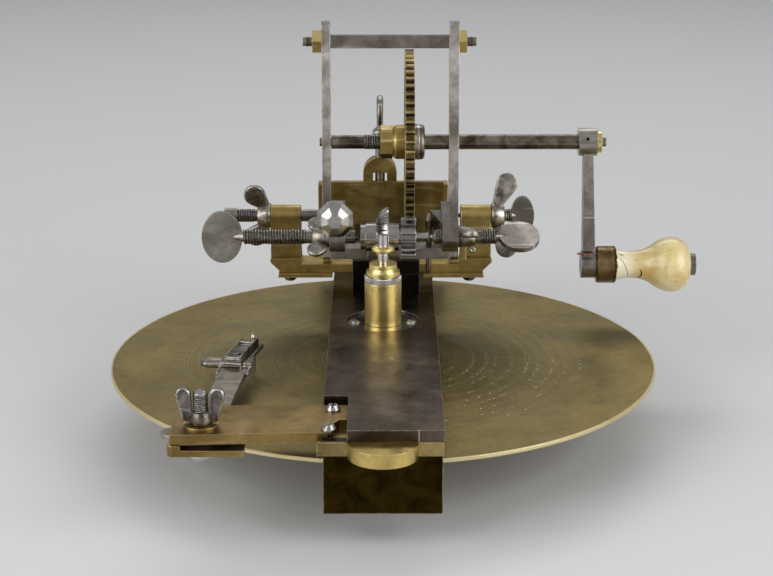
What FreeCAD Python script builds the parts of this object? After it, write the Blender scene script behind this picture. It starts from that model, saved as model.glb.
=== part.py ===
import FreeCAD, Part
import Sketcher
import math
import os

# A clockmaker's wheel cutting engine. Origin: on the floor, under the arbor's axis.
# +X is to the right of someone facing the engine, +Y runs back along the bed, +Z is up.

doc = FreeCAD.newDocument("wheel_cutting_engine")
sheet = doc.addObject("Spreadsheet::Sheet", "Sizes")

# Driving sizes in millimetres, angles in degrees, each written once.
SIZES = {
    "run_gap": 0.05,            # radial clearance of every shaft and screw in its hole
    "slide_gap": 0.05,          # clearance of flat sliding faces
    "shake": 0.1,               # small end clearance between moving faces
    # frame
    "vice_height": 18.4,
    "vice_width": 56,
    "vice_length": 120,
    "vice_middle": 28,
    "lower_bar_thick": 10,
    "foot_height": 29.8,
    "foot_thick": 12,
    "ear_thick": 5.5,
    "mortise_depth": 6,
    "bar_width": 34,
    "bar_thick": 7,
    "bed_width": 58.5,
    "bed_thick": 6,
    "front_gap": 3,
    "bed_back": 207,
    "bed_lip": 0.7,
    "notch_length": 46,
    "pad_length": 34,
    "plate_radius": 150,
    "plate_thick": 2,
    "plate_gap": 9,
    # bush, arbor and what stands on it
    "recess_wall": 6.8,
    "recess_depth": 3,
    "flange_thick": 1.9,
    "sleeve_wall": 4.9,
    "journal_radius": 8,
    "core_radius": 6,
    "point_radius": 5,
    "footstep_radius": 7,
    "footstep_rise": 1,
    "footstep_depth": 8,
    "cup_radius": 3.5,
    "shoulder_wall": 4,
    "shoulder_thick": 3,
    "plate_nut_wall": 8,
    "plate_nut_thick": 4,
    "barrel_wall": 4.1,
    "barrel_height": 23.8,
    "ring_wall": 3.8,
    "ring_height": 3.2,
    "ring_neck_wall": 2.4,
    "ring_neck_height": 0.6,
    "collet_low_wall": 3.2,
    "collet_mid_wall": 2.7,
    "collet_top_wall": 1.6,
    "collet_step": 2.1,
    "spindle_radius": 2.67,
    "spindle_step": 0.2,
    "spindle_end": 6,
    "work_nut_radius": 6.2,
    "work_nut_height": 3.5,
    "work_gap": 6.6,
    "bush_screw_inset": 2.5,
    "bush_screw_head": 2.9,
    "bush_screw_shank": 1.4,
    "bush_screw_head_height": 1.2,
    # index arm at the front left
    "bracket_left": 101,
    "bracket_thick": 5.3,
    "bracket_rise": 4.4,
    "bracket_inset": 1.8,
    "bracket_gap": 0.3,
    "bracket_reach": 41.5,
    "bracket_corner": 9,
    "bracket_cut_side": 0.4,
    "bracket_cut_in": 12.5,
    "bracket_cut_deep": 22.3,
    "bracket_screw_front_x": 25.8,
    "bracket_screw_back_x": 24.4,
    "bracket_screw_reach": 34.6,
    "bracket_screw_head": 3.7,
    "bracket_screw_head_height": 3,
    "bracket_screw_shank": 1.9,
    "bracket_screw_depth": 3.6,
    "stud_x": 87,
    "stud_inset": 15,
    "stud_radius": 3.3,
    "stud_head_radius": 8.5,
    "stud_head_height": 5.4,
    "stud_rise": 17.5,
    "arm_thick": 2,
    "arm_half_width": 6.8,
    "arm_length": 109,
    "arm_lean": 5.1,
    "tail_reach": 20.5,
    "tail_half_width": 6,
    "clamp_thick": 3.2,
    "clamp_left": 15.5,
    "clamp_right": 21,
    "clamp_front": 14,
    "clamp_back": 10,
    "heel_depth": 3.4,
    "heel_length": 6.5,
    "washer_radius": 8.5,
    "washer_thick": 1,
    "small_nut_radius": 5.4,
    "small_nut_height": 5.5,
    "small_wing_reach": 8.3,
    "small_wing_rise": 17,
    "small_wing_lobe": 3.6,
    "wing_thick": 2.8,
    "slider_at": 93,
    "slider_length": 17,
    "slider_wall": 1.9,
    "slider_top": 3.2,
    "finger_reach": 17.5,
    "finger_width": 7,
    "finger_thick": 2.6,
    "finger_rise": 1.6,
    "head_turn": 14,
    "head_length": 41,
    "head_width": 9,
    "head_thick": 3.2,
    "head_rise": 0,
    "index_point_radius": 1.6,
    "index_tip_radius": 0.35,
    "index_tip_gap": 0.15,
    "index_cone": 5,
    "index_button_rise": 6,
    # carriage
    "saddle_left": 17.5,
    "saddle_right": 21,
    "saddle_lead": 5,
    "saddle_height": 19.3,
    "yoke_depth": 20,
    "yoke_rise": 11.3,
    "yoke_bar_height": 4.2,
    "lug_left_thick": 17.4,
    "yoke_gap_left": 12.6,
    "lug_right_thick": 17.7,
    "yoke_gap_right": 1.3,
    "yoke_shoulder": 10.2,
    "yoke_chamfer": 4.6,
    "lug_radius": 8.2,
    "strip_height": 3.7,
    "ledge_depth": 11,
    "ledge_inner": 22,
    "yoke_screw_in_left": 10.9,
    "yoke_screw_in_right": 12.5,
    "yoke_screw_head": 4.2,
    "yoke_screw_head_height": 2.6,
    "yoke_screw_shank": 2,
    "yoke_screw_depth": 7,
    "rear_reach": 65,
    "rear_thick": 4,
    "rear_side": 10.25,
    "rear_rise": 46,
    "rear_skirt": 11,
    "rear_rib": 2.4,
    "rear_rib_depth": 6,
    "gib_gap": 1.5,
    "gib_thick": 4.6,
    "gib_length": 14,
    "arch_half": 10.3,
    "arch_depth": 8.4,
    "arch_slot_half": 4.2,
    "arch_rise": 50.2,
    "arch_slot_over": 0.6,
    "clamp_x": 1.9,
    "clamp_radius": 3,
    "clamp_collar_radius": 4.6,
    "clamp_neck": 23.1,
    "clamp_collar_height": 4,
    "bow_lift": 0.7,
    "bow_radius": 8,
    "bow_wire": 2,
    # swing frame: pivot, cutter axis, crank axis
    "pivot_y": 65,
    "pivot_rise": 42.4,
    "arm_reach": 37,
    "cutter_drop": 2.4,
    "crank_lean": 4.6,
    "crank_over": 42.5,
    "upright_left_out": 34.9,
    "upright_left_thick": 4.9,
    "upright_right_in": 37.9,
    "upright_right_thick": 5.6,
    "upright_half": 5.2,
    "upright_clear": 1.4,
    "upright_crown": 11.6,
    "top_bar_gap": 0.9,
    "top_bar_height": 7.3,
    "top_bar_depth": 8,
    "stud_end_radius": 2.6,
    "stud_tail": 5.5,
    "top_nut_across": 12.6,
    "top_nut_left_thick": 5.3,
    "top_nut_right_thick": 4.2,
    "cheek_left_thick": 8.6,
    "cheek_right_thick": 8.8,
    "cheek_right_web": 4.7,
    "cheek_radius": 8.5,
    "cheek_horn": 19,
    "web_below": 3.2,
    "web_above": 6.8,
    "web_reach": 6,
    "crossbar_reach": 22,
    "crossbar_depth": 12.6,
    "crossbar_drop": 19.8,
    "crossbar_height": 6.3,
    "crossbar_notch_left": 8.6,
    "crossbar_notch_right": 9.6,
    "crossbar_notch_depth": 5,
    "knob_shift": 0.9,
    "knob_rise": 13.2,
    "knob_across": 20.5,
    "knob_nose_across": 8,
    "knob_rim": 2.2,
    "knob_depth": 9,
    "knob_shank": 3,
    "knob_shank_length": 7,
    "stop_x": 26.3,
    "stop_back": 2,
    "stop_radius": 1.6,
    "stop_neck_rise": 15.2,
    "stop_head_radius": 2.3,
    "stop_head_height": 9,
    # screws with thumb discs, and their wing nuts
    "screw_radius": 3.8,
    "point_length": 3.6,
    "point_entry": 1.4,
    "point_seat": 1.8,
    "disc_half_long": 14.75,
    "disc_half_short": 11.4,
    "disc_thick": 2.8,
    "left_disc_reach": 60.3,
    "right_disc_reach": 38.5,
    "right_disc_tilt": 15,
    "nut_hub_radius": 6,
    "nut_hub_length": 9.5,
    "nut_wing_reach": 8.4,
    "nut_wing_along": 7.5,
    "nut_wing_lobe": 4.4,
    "left_nut_turn": 125,
    "right_nut_turn": 20,
    "pivot_screw_radius": 3.5,
    "pivot_left_tail": 19.7,
    "pivot_left_head": 4.4,
    "pivot_left_head_length": 7,
    "pivot_disc_reach": 18.1,
    "pivot_disc_half_long": 11.4,
    "pivot_disc_half_short": 6.9,
    "pivot_hub_radius": 7.2,
    "pivot_hub_length": 7.6,
    "pivot_wing_reach": 16,
    "pivot_wing_along": 9,
    "pivot_wing_lobe": 6.4,
    "pivot_left_turn": 12,
    "pivot_right_turn": -8,
    # cutter and its arbor
    "cutter_left": 3.8,
    "cutter_right": 3.2,
    "cutter_radius": 16.7,
    "cutter_root": 8.6,
    "cutter_teeth": 24,
    "gash_width": 0.7,
    "gash_floor": 1.4,
    "gash_skew": 3.2,
    "cutter_bore": 3,
    "arbor_drum": 5.9,
    "arbor_flange": 2.9,
    "arbor_flange_radius": 7,
    "arbor_drum_radius": 8,
    "collar_radius": 7.5,
    "collar_gap": 1.2,
    "pinion_lead": 2.4,
    "pinion_tail": 0.8,
    "arbor_tail_radius": 2.2,
    "arbor_tail": 7.1,
    "pinion_leaves": 12,
    "gear_teeth": 60,
    # drive gear, crank shaft and crank
    "gear_left": 12.5,
    "gear_thick": 5.1,
    "gear_rim": 5.5,
    "gear_arms": 5,
    "gear_hub": 13,
    "gear_arm_half": 3.2,
    "shaft_gap": 0.4,
    "shaft_pivot_radius": 2.5,
    "shaft_pivot_tail": 1.5,
    "shaft_left_radius": 3.9,
    "shaft_radius": 4.3,
    "shaft_collar_radius": 10,
    "shaft_collar_long": 6.3,
    "shaft_collar_round": 2,
    "gear_nut_thick": 6.9,
    "gear_nut_across": 17.7,
    "gear_washer_thick": 7,
    "gear_washer_radius": 9.8,
    "crank_boss_left": 112.3,
    "crank_boss_long": 10.6,
    "crank_boss_radius": 8,
    "crank_seat_radius": 3.9,
    "crank_throw": 73.5,
    "crank_eye_step": 3.5,
    "crank_eye_long": 8.6,
    "crank_eye_radius": 7.9,
    "crank_top_step": 3,
    "crank_top_thick": 5.4,
    "crank_low_step": 4.3,
    "crank_low_thick": 7.3,
    "crank_depth": 10.5,
    "crank_nut_radius": 6.3,
    "crank_nut_thick": 2.6,
    "crank_thread_radius": 2.6,
    "crank_thread_long": 5.3,
    "pin_radius": 2.5,
    "rivet_radius": 6.4,
    "rivet_height": 3.2,
    "ferrule_gap": 0.2,
    "ferrule_long": 10.6,
    "ferrule_radius": 10.8,
    "grip_start_radius": 9.9,
    "grip_neck_run": 10.5,
    "grip_neck_radius": 7.9,
    "grip_crown_run": 23.3,
    "grip_crown_radius": 16.1,
    "grip_end_run": 10.6,
    "grip_end_radius": 7,
}


class Size:
    """A number together with the sheet expression that gives it."""

    def __init__(self, text, value):
        self.text = text
        self.value = float(value)

    def joined(self, sign, other, value):
        return Size(f"({self.text} {sign} {other.text})", value)

    def __add__(self, other):
        other = as_size(other)
        return self.joined("+", other, self.value + other.value)

    def __sub__(self, other):
        other = as_size(other)
        return self.joined("-", other, self.value - other.value)

    def __mul__(self, other):
        other = as_size(other)
        return self.joined("*", other, self.value * other.value)

    def __truediv__(self, other):
        other = as_size(other)
        return self.joined("/", other, self.value / other.value)

    def __radd__(self, other):
        return as_size(other) + self

    def __rsub__(self, other):
        return as_size(other) - self

    def __rmul__(self, other):
        return as_size(other) * self

    def __rtruediv__(self, other):
        return as_size(other) / self

    def __neg__(self):
        return Size(f"(0 - {self.text})", -self.value)


def as_size(number):
    return number if isinstance(number, Size) else Size(repr(float(number)), number)


def root_of(size):
    return Size(f"sqrt({size.text})", math.sqrt(size.value))


def angle_of(rise, run):
    """The angle in degrees whose tangent is rise over run."""
    rise, run = as_size(rise), as_size(run)
    value = math.degrees(math.atan2(rise.value, run.value))
    return Size(f"(atan2({rise.text}; {run.text}) / 1deg)", value)


def cos_of(angle):
    return Size(f"cos({angle.text} * 1deg)", math.cos(math.radians(angle.value)))


def sin_of(angle):
    return Size(f"sin({angle.text} * 1deg)", math.sin(math.radians(angle.value)))


class Sheet:
    """The driving sizes and those worked out from them, read by name."""

    def __init__(self):
        self.values = {}

    def __getattr__(self, name):
        return Size("Sizes." + name, self.values[name])

    def add(self, name, text, value):
        row = len(self.values) + 1
        sheet.set(f"A{row}", name)
        sheet.set(f"B{row}", text)
        sheet.setAlias(f"B{row}", name)
        self.values[name] = value

    def derive(self, name, size):
        """A size that follows others, as a formula in the sheet."""
        self.add(name, "=" + size.text.replace("Sizes.", ""), size.value)


s = Sheet()
for name, value in SIZES.items():
    s.add(name, str(value), value)

# Frame: the feet stand clear of the plate's rim, and the index bracket follows the front foot.
s.derive("bed_front", s.plate_radius + s.front_gap + s.foot_thick)
s.derive("foot_width", s.bed_width - 1.5)
s.derive("ear_width", s.bed_width + 1)
s.derive("under_low", s.vice_height + s.foot_height)
s.derive("bed_low", s.under_low + s.bar_thick)
s.derive("bed_top", s.bed_low + s.bed_thick)
s.derive("bracket_front", s.bed_front - s.bracket_inset)
s.derive("bracket_front_right", s.bed_front - s.ear_thick - s.bracket_gap)
s.derive("bracket_back", s.bed_front - s.bracket_reach)
s.derive("bracket_cut_left", s.bracket_screw_front_x + s.bracket_cut_side)
s.derive("bracket_cut_front", s.bed_front - s.bracket_cut_in)
s.derive("bracket_cut_back", s.bed_front - s.bracket_cut_deep)
s.derive("bracket_screw_front", s.bed_front - (s.ear_thick + s.foot_thick) / 2)
s.derive("bracket_screw_back", s.bed_front - s.bracket_screw_reach)
s.derive("stud_y", s.bed_front - s.stud_inset)

# Bush and arbor: every diameter follows the journal or the core.
s.derive("sleeve_radius", s.journal_radius + s.sleeve_wall)
s.derive("recess_radius", s.sleeve_radius + s.recess_wall)
s.derive("bush_screw_circle", s.sleeve_radius + s.bush_screw_inset)
s.derive("shoulder_radius", s.journal_radius + s.shoulder_wall)
s.derive("plate_nut_radius", s.journal_radius + s.plate_nut_wall)
s.derive("barrel_radius", s.core_radius + s.barrel_wall)
s.derive("ring_radius", s.core_radius + s.ring_wall)
s.derive("ring_neck_radius", s.core_radius + s.ring_neck_wall)
s.derive("thread_radius", s.spindle_radius + s.spindle_step)
s.derive("collet_low_radius", s.core_radius + s.collet_low_wall)
s.derive("collet_mid_radius", s.core_radius + s.collet_mid_wall)
s.derive("collet_top_radius", s.core_radius + s.collet_top_wall)

# Carriage and cutter frame: their places follow the pivot, its height the bed.
s.derive("pivot_z", s.bed_top + s.pivot_rise)
s.derive("cutter_y", s.pivot_y - s.arm_reach)
s.derive("cutter_z", s.pivot_z - s.cutter_drop)
s.derive("crank_y", s.pivot_y + s.crank_lean)
s.derive("crank_z", s.pivot_z + s.crank_over)
s.derive("yoke_front", s.pivot_y - s.yoke_depth / 2)
s.derive("yoke_low", s.bed_top + s.yoke_rise)
s.derive("saddle_front", s.yoke_front - s.saddle_lead)
s.derive("rear_front", s.pivot_y + s.rear_reach)
s.derive("rear_half", s.bed_width / 2 + s.rear_side)
s.derive("rear_top", s.bed_top + s.rear_rise)
s.derive("gib_inner", s.bar_width / 2 + s.gib_gap)
s.derive("arch_left", s.clamp_x + s.arch_half)
s.derive("arch_right", s.arch_half - s.clamp_x)
s.derive("arch_shoulder", s.bed_top + s.arch_rise)
s.derive("arch_slot_top", s.arch_shoulder + s.arch_slot_over)
s.derive("clamp_collar_low", s.arch_shoulder + s.clamp_neck)
s.derive("bow_middle", s.clamp_collar_low + s.clamp_collar_height + s.bow_lift + s.bow_radius + s.bow_wire)
s.derive("upright_left_in", s.upright_left_out - s.upright_left_thick)
s.derive("upright_right_out", s.upright_right_in + s.upright_right_thick)
s.derive("upright_down", s.pivot_rise - s.yoke_rise - s.yoke_bar_height - s.upright_clear)
s.derive("stud_left_end", s.upright_left_out + s.top_nut_left_thick + s.stud_tail)
s.derive("stud_right_end", s.upright_right_out + s.top_nut_right_thick + s.stud_tail)
s.derive("yoke_left_inner", s.upright_left_out + s.yoke_gap_left)
s.derive("yoke_left", s.yoke_left_inner + s.lug_left_thick)
s.derive("yoke_right_inner", s.upright_right_out + s.yoke_gap_right)
s.derive("yoke_right", s.yoke_right_inner + s.lug_right_thick)
s.derive("strip_left", s.yoke_left - s.yoke_chamfer)
s.derive("strip_right", s.yoke_right - s.yoke_chamfer)
s.derive("yoke_screw_left", s.yoke_left - s.yoke_screw_in_left)
s.derive("yoke_screw_right", s.yoke_right - s.yoke_screw_in_right)
s.derive("web_low", s.cutter_z - s.web_below)
s.derive("web_high", s.cutter_z + s.web_above)
s.derive("crossbar_front", s.pivot_y - s.crossbar_reach)
s.derive("crossbar_low", s.pivot_z - s.crossbar_drop)
s.derive("knob_x", s.upright_left_in - s.cheek_left_thick / 2 + s.knob_shift)
s.derive("knob_z", s.cutter_z + s.knob_rise)
s.derive("stop_y", s.yoke_front - s.stop_back)
s.derive("stop_neck", s.crossbar_low + s.stop_neck_rise)
s.derive("stop_top", s.stop_neck + s.stop_head_height)
s.derive("left_disc_x", s.upright_left_in + s.left_disc_reach)
s.derive("right_disc_x", s.upright_right_in + s.right_disc_reach)
s.derive("pivot_left_end", s.yoke_left + s.pivot_left_tail)
s.derive("pivot_right_disc_x", s.yoke_right + s.pivot_disc_reach)

# Places along the cutter's arbor, the crank shaft and the handle
s.derive("pinion_left", s.gear_left - s.pinion_lead)
s.derive("pinion_right", s.gear_left + s.gear_thick + s.pinion_tail)
s.derive("collar_right", s.pinion_left - s.collar_gap)
s.derive("arbor_left", s.cutter_left + s.arbor_drum + s.arbor_flange)
s.derive("arbor_right", s.pinion_right + s.arbor_tail)
s.derive("gear_washer_left", s.gear_left - s.gear_washer_thick)
s.derive("gear_nut_left", s.gear_nut_thick - s.gear_washer_left)
s.derive("shaft_left", s.upright_left_in - s.shaft_gap)
s.derive("shaft_pivot_end", s.upright_left_out + s.shaft_pivot_tail)
s.derive("shaft_collar_end", s.gear_left + s.gear_thick + s.shaft_collar_long)
s.derive("crank_boss_right", s.crank_boss_left + s.crank_boss_long)
s.derive("crank_eye_left", s.crank_boss_left + s.crank_eye_step)
s.derive("crank_eye_right", s.crank_eye_left + s.crank_eye_long)
s.derive("crank_top_left", s.crank_boss_left + s.crank_top_step)
s.derive("crank_top_right", s.crank_top_left + s.crank_top_thick)
s.derive("crank_low_left", s.crank_boss_left + s.crank_low_step)
s.derive("crank_low_right", s.crank_low_left + s.crank_low_thick)
s.derive("crank_thread_end", s.crank_boss_right + s.crank_thread_long)
s.derive("ferrule_left", s.crank_eye_right + s.ferrule_gap)
s.derive("ferrule_right", s.ferrule_left + s.ferrule_long)
s.derive("grip_neck_at", s.ferrule_right + s.grip_neck_run)
s.derive("grip_crown_at", s.grip_neck_at + s.grip_crown_run)
s.derive("grip_end_at", s.grip_crown_at + s.grip_end_run)

# Gear and pinion: the pitch circles share the distance between the two axes.
s.derive("mesh_back", s.crank_y - s.cutter_y)
s.derive("mesh_rise", s.crank_z - s.cutter_z)
s.derive("mesh_distance", root_of(s.mesh_back * s.mesh_back + s.mesh_rise * s.mesh_rise))
s.derive("module", 2 * s.mesh_distance / (s.gear_teeth + s.pinion_leaves))
s.derive("gear_pitch", s.module * s.gear_teeth / 2)
s.derive("pinion_pitch", s.module * s.pinion_leaves / 2)
s.derive("gear_outer", s.gear_pitch + 1.1 * s.module)
s.derive("pinion_outer", s.pinion_pitch + 0.55 * s.module)
s.derive("gear_root", s.mesh_distance - s.pinion_outer - 0.2 * s.module)
s.derive("pinion_root", s.mesh_distance - s.gear_outer - 0.15 * s.module)
s.derive("crank_along", root_of(s.crank_over * s.crank_over + s.crank_lean * s.crank_lean))
s.derive("top_bar_at", s.crank_along + s.gear_outer + s.top_bar_gap + s.top_bar_height / 2)
s.derive("upright_up", s.top_bar_at + s.upright_crown)
doc.recompute()


def bind(target, prop, size):
    size = as_size(size)
    target.setExpression(prop, size.text)


def place(target, at=(0, 0, 0), axis=None, angle=0):
    """Puts an object at a point, turned by an angle about an axis."""
    if axis is not None:
        turn = FreeCAD.Rotation(FreeCAD.Vector(*axis), as_size(angle).value)
        target.Placement = FreeCAD.Placement(FreeCAD.Vector(0, 0, 0), turn)
        bind(target, "Placement.Rotation.Angle", angle)
    for letter, size in zip("xyz", at):
        bind(target, "Placement.Base." + letter, size)


def circle(x, y, radius):
    return ("circle", as_size(x), as_size(y), as_size(radius))


def path(*corners):
    """A closed outline. A corner is (x, y), or (x, y, radius, side) where an arc ends:
    side 1 bulges to the right of the way travelled, -1 to the left."""
    return ("path", [[as_size(part) for part in corner[:3]] + list(corner[3:]) for corner in corners])


def rectangle(low_x, low_y, high_x, high_y):
    return path((low_x, low_y), (high_x, low_y), (high_x, high_y), (low_x, high_y))


def polygon(count, across):
    """A regular polygon about the origin, given its width across flats."""
    step = 360 / count
    corner = across / (2 * math.cos(math.radians(step / 2)))
    turns = [math.radians(step * (number + 0.5)) for number in range(count)]
    return path(*[(corner * math.cos(turn), corner * math.sin(turn)) for turn in turns])


def arc_through(start, end, radius, side):
    """The arc from start to end with its bulge on one side."""
    middle = (start + end) / 2
    chord = end - start
    half = chord.Length / 2
    right = FreeCAD.Vector(chord.y, -chord.x, 0).normalize()
    rise = math.sqrt(max(radius * radius - half * half, 0))
    return Part.Arc(start, middle + right * (side * (radius - rise)), end)


class Piece:
    """One sub-part, built on the origin planes of its own body."""

    def __init__(self, label):
        self.body = doc.addObject("PartDesign::Body", label)
        self.body.Label = label
        self.label = label

    def plane(self, role):
        return [item for item in self.body.Origin.OriginFeatures if item.Role == role][0]

    def sketch(self, role, outlines, offset):
        drawing = self.body.newObject("Sketcher::SketchObject", self.label + "_sketch")
        drawing.AttachmentSupport = (self.plane(role), [""])
        drawing.MapMode = "FlatFace"
        bind(drawing, "AttachmentOffset.Base.z", offset)
        for outline in outlines:
            if outline[0] == "circle":
                self.draw_circle(drawing, *outline[1:])
            else:
                self.draw_path(drawing, outline[1])
        return drawing

    def fix(self, drawing, constraints, sizes):
        first = drawing.ConstraintCount
        drawing.addConstraint(constraints)
        for number, size in enumerate(sizes, start=first):
            drawing.renameConstraint(number, f"size{number}")
            drawing.setExpression(f"Constraints.size{number}", size.text)

    def draw_circle(self, drawing, x, y, radius):
        centre = FreeCAD.Vector(x.value, y.value, 0)
        normal = FreeCAD.Vector(0, 0, 1)
        index = drawing.addGeometry(Part.Circle(centre, normal, radius.value), False)
        constraints = [
            Sketcher.Constraint("DistanceX", -1, 1, index, 3, x.value),
            Sketcher.Constraint("DistanceY", -1, 1, index, 3, y.value),
            Sketcher.Constraint("Radius", index, radius.value),
        ]
        self.fix(drawing, constraints, [x, y, radius])

    def draw_path(self, drawing, corners):
        count = len(corners)
        points = [FreeCAD.Vector(corner[0].value, corner[1].value, 0) for corner in corners]
        edges = []
        for number in range(count):
            goal = corners[(number + 1) % count]
            start, end = points[number], points[(number + 1) % count]
            if len(goal) == 2:
                edges.append(Part.LineSegment(start, end))
            else:
                edges.append(arc_through(start, end, goal[2].value, goal[3]))
        first = drawing.GeometryCount
        drawing.addGeometry(edges, False)
        ends = self.edge_ends(drawing, first, points)
        joints = []
        constraints = []
        sizes = []
        for number in range(count):
            following = (number + 1) % count
            here = first + number
            joints.append(
                Sketcher.Constraint("Coincident", here, ends[number][1], first + following, ends[following][0])
            )
            start = ends[number][0]
            constraints.append(Sketcher.Constraint("DistanceX", -1, 1, here, start, points[number].x))
            constraints.append(Sketcher.Constraint("DistanceY", -1, 1, here, start, points[number].y))
            sizes += corners[number][:2]
        for number in range(count):
            goal = corners[(number + 1) % count]
            if len(goal) > 2:
                constraints.append(Sketcher.Constraint("Radius", first + number, goal[2].value))
                sizes.append(goal[2])
        drawing.addConstraint(joints)
        self.fix(drawing, constraints, sizes)

    def edge_ends(self, drawing, first, points):
        """Which end of each edge is its start: a stored arc may run the other way."""
        ends = []
        for number, point in enumerate(points):
            near = (drawing.getPoint(first + number, 1) - point).Length
            far = (drawing.getPoint(first + number, 2) - point).Length
            ends.append((1, 2) if near <= far else (2, 1))
        return ends

    def pad_z(self, outlines, low, high):
        """A pad between two heights."""
        low, high = as_size(low), as_size(high)
        drawing = self.sketch("XY_Plane", outlines, low)
        return self.extrude("PartDesign::Pad", drawing, high - low)

    def pad_x(self, outlines, low, high):
        """A pad between two X places, its outline in (Y, Z)."""
        low, high = as_size(low), as_size(high)
        drawing = self.sketch("YZ_Plane", outlines, low)
        return self.extrude("PartDesign::Pad", drawing, high - low)

    def pad_y(self, outlines, low, high):
        """A pad between two Y places, its outline in (X, Z)."""
        low, high = as_size(low), as_size(high)
        drawing = self.sketch("XZ_Plane", outlines, -high)
        return self.extrude("PartDesign::Pad", drawing, high - low)

    def cut_z(self, outlines, low, high):
        low, high = as_size(low), as_size(high)
        drawing = self.sketch("XY_Plane", outlines, high)
        return self.extrude("PartDesign::Pocket", drawing, high - low)

    def cut_x(self, outlines, low, high):
        low, high = as_size(low), as_size(high)
        drawing = self.sketch("YZ_Plane", outlines, high)
        return self.extrude("PartDesign::Pocket", drawing, high - low)

    def cut_y(self, outlines, low, high):
        low, high = as_size(low), as_size(high)
        drawing = self.sketch("XZ_Plane", outlines, -low)
        return self.extrude("PartDesign::Pocket", drawing, high - low)

    def extrude(self, kind, drawing, length):
        before = self.volume()
        feature = self.body.newObject(kind, self.label + "_form")
        feature.Profile = drawing
        bind(feature, "Length", length)
        self.body.Tip = feature
        doc.recompute()
        if kind == "PartDesign::Pocket" and self.volume() > before - 1e-6:
            raise ValueError(f"a cut in {self.label} removes nothing")
        return feature

    def volume(self):
        shape = self.body.Shape
        return 0.0 if shape.isNull() else shape.Volume

    def turn_z(self, outline, x=0, y=0):
        """A turned form about a vertical axis through the body's origin, outline in (radius, Z)."""
        drawing = self.sketch("XZ_Plane", [outline], 0)
        return self.revolve(drawing, "V_Axis")

    def turn_x(self, outline):
        """A turned form about the body's X axis, outline in (X, radius)."""
        drawing = self.sketch("XY_Plane", [outline], 0)
        return self.revolve(drawing, "H_Axis")

    def revolve(self, drawing, axis):
        feature = self.body.newObject("PartDesign::Revolution", self.label + "_turned")
        feature.Profile = drawing
        feature.ReferenceAxis = (drawing, [axis])
        feature.Angle = 360
        self.body.Tip = feature
        doc.recompute()
        return feature

    def repeat(self, features, role, count):
        """Copies features round one of the body's own axes."""
        pattern = self.body.newObject("PartDesign::PolarPattern", self.label + "_repeat")
        pattern.Originals = features
        axis = [item for item in self.body.Origin.OriginFeatures if item.Role == role][0]
        pattern.Axis = (axis, [""])
        pattern.Angle = 360
        bind(pattern, "Occurrences", count)
        self.body.Tip = pattern
        doc.recompute()
        return pattern

    def done(self, at=(0, 0, 0), axis=None, angle=0):
        place(self.body, at, axis, angle)
        return self.body


parts = {}


def keep(label, item):
    item.Label = label
    parts[label] = item
    return item


def joined(label, items):
    """Several forms fused into one sub-part."""
    fusion = doc.addObject("Part::MultiFuse", label)
    fusion.Shapes = items
    fusion.Refine = True
    return keep(label, fusion)


def grouped(label, items):
    """Like fasteners kept as separate solids of one sub-part."""
    group = doc.addObject("Part::Compound", label)
    group.Links = items
    return keep(label, group)


# Heights that the pieces stack up to
under_low = s.under_low
bed_low = s.bed_low
bed_top = s.bed_top
plate_top = under_low - s.plate_gap
plate_low = plate_top - s.plate_thick
half_bar = s.bar_width / 2
half_bed = s.bed_width / 2
journal_bore = s.journal_radius + s.run_gap
pad_top = under_low + s.bracket_rise
bracket_top = pad_top + s.bracket_thick
lower_top = s.vice_height + s.lower_bar_thick
shank_bore = s.bush_screw_shank + s.run_gap
bracket_bore = s.bracket_screw_shank + s.run_gap
bracket_screws = [
    (-s.bracket_screw_front_x, -s.bracket_screw_front),
    (-s.bracket_screw_back_x, -s.bracket_screw_back),
]


def make_bed():
    piece = Piece("bed")
    outline = path(
        (half_bed, s.bed_back),
        (-half_bed, s.bed_back),
        (-half_bed, s.notch_length - s.bed_front),
        (-half_bar, s.notch_length - s.bed_front),
        (-half_bar, -s.bed_front - s.bed_lip),
        (half_bar, -s.bed_front - s.bed_lip),
        (half_bar, -s.bed_front),
        (half_bed, -s.bed_front),
    )
    piece.pad_z([outline, circle(0, 0, s.sleeve_radius + s.run_gap)], bed_low, bed_top)
    piece.cut_z([circle(0, 0, s.recess_radius)], bed_top - s.recess_depth, bed_top)
    holes = [circle(side * s.bush_screw_circle, 0, shank_bore) for side in (-1, 1)]
    piece.cut_z(holes, bed_low, bed_top - s.recess_depth)
    keep("bed", piece.done())


def make_under_bar():
    piece = Piece("under_bar")
    front = -s.bed_front
    outline = path(
        (half_bar, front, half_bar, 1),
        (half_bar, s.bed_back),
        (-half_bar, s.bed_back),
        (-half_bar, front),
        (0, front - half_bar, half_bar, 1),
    )
    piece.pad_z([outline, circle(0, 0, s.sleeve_radius + s.run_gap)], under_low, bed_low)
    notch_back = s.notch_length - s.bed_front
    pad_front = notch_back - s.pad_length
    piece.pad_z([rectangle(-half_bed, pad_front, -half_bar, notch_back)], under_low, pad_top)
    back_x, back_y = bracket_screws[1]
    piece.cut_z([circle(back_x, back_y, bracket_bore)], pad_top - s.bracket_screw_depth, pad_top)
    keep("under_bar", piece.done())


def make_foot(label, front, back, notched):
    piece = Piece(label)
    half = s.foot_width / 2
    ear = s.ear_width / 2
    piece.pad_y([rectangle(-half, s.vice_height, half, under_low)], front, back)
    piece.pad_y([rectangle(half_bar, under_low, half, bed_low)], front, back)
    left_top = pad_top if notched else bed_low
    piece.pad_y([rectangle(-ear, under_low, -half_bar, left_top)], front, back)
    if notched:
        piece.pad_y([rectangle(-ear, pad_top, -half_bar, bed_low)], front, front + s.ear_thick)
        x, y = bracket_screws[0]
        piece.cut_z([circle(x, y, bracket_bore)], pad_top - s.bracket_screw_depth, pad_top)
        mortise = (back - s.mortise_depth, back)
    else:
        mortise = (front, front + s.mortise_depth)
    piece.cut_y([rectangle(-half_bar, s.vice_height, half_bar, lower_top)], *mortise)
    keep(label, piece.done())


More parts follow.
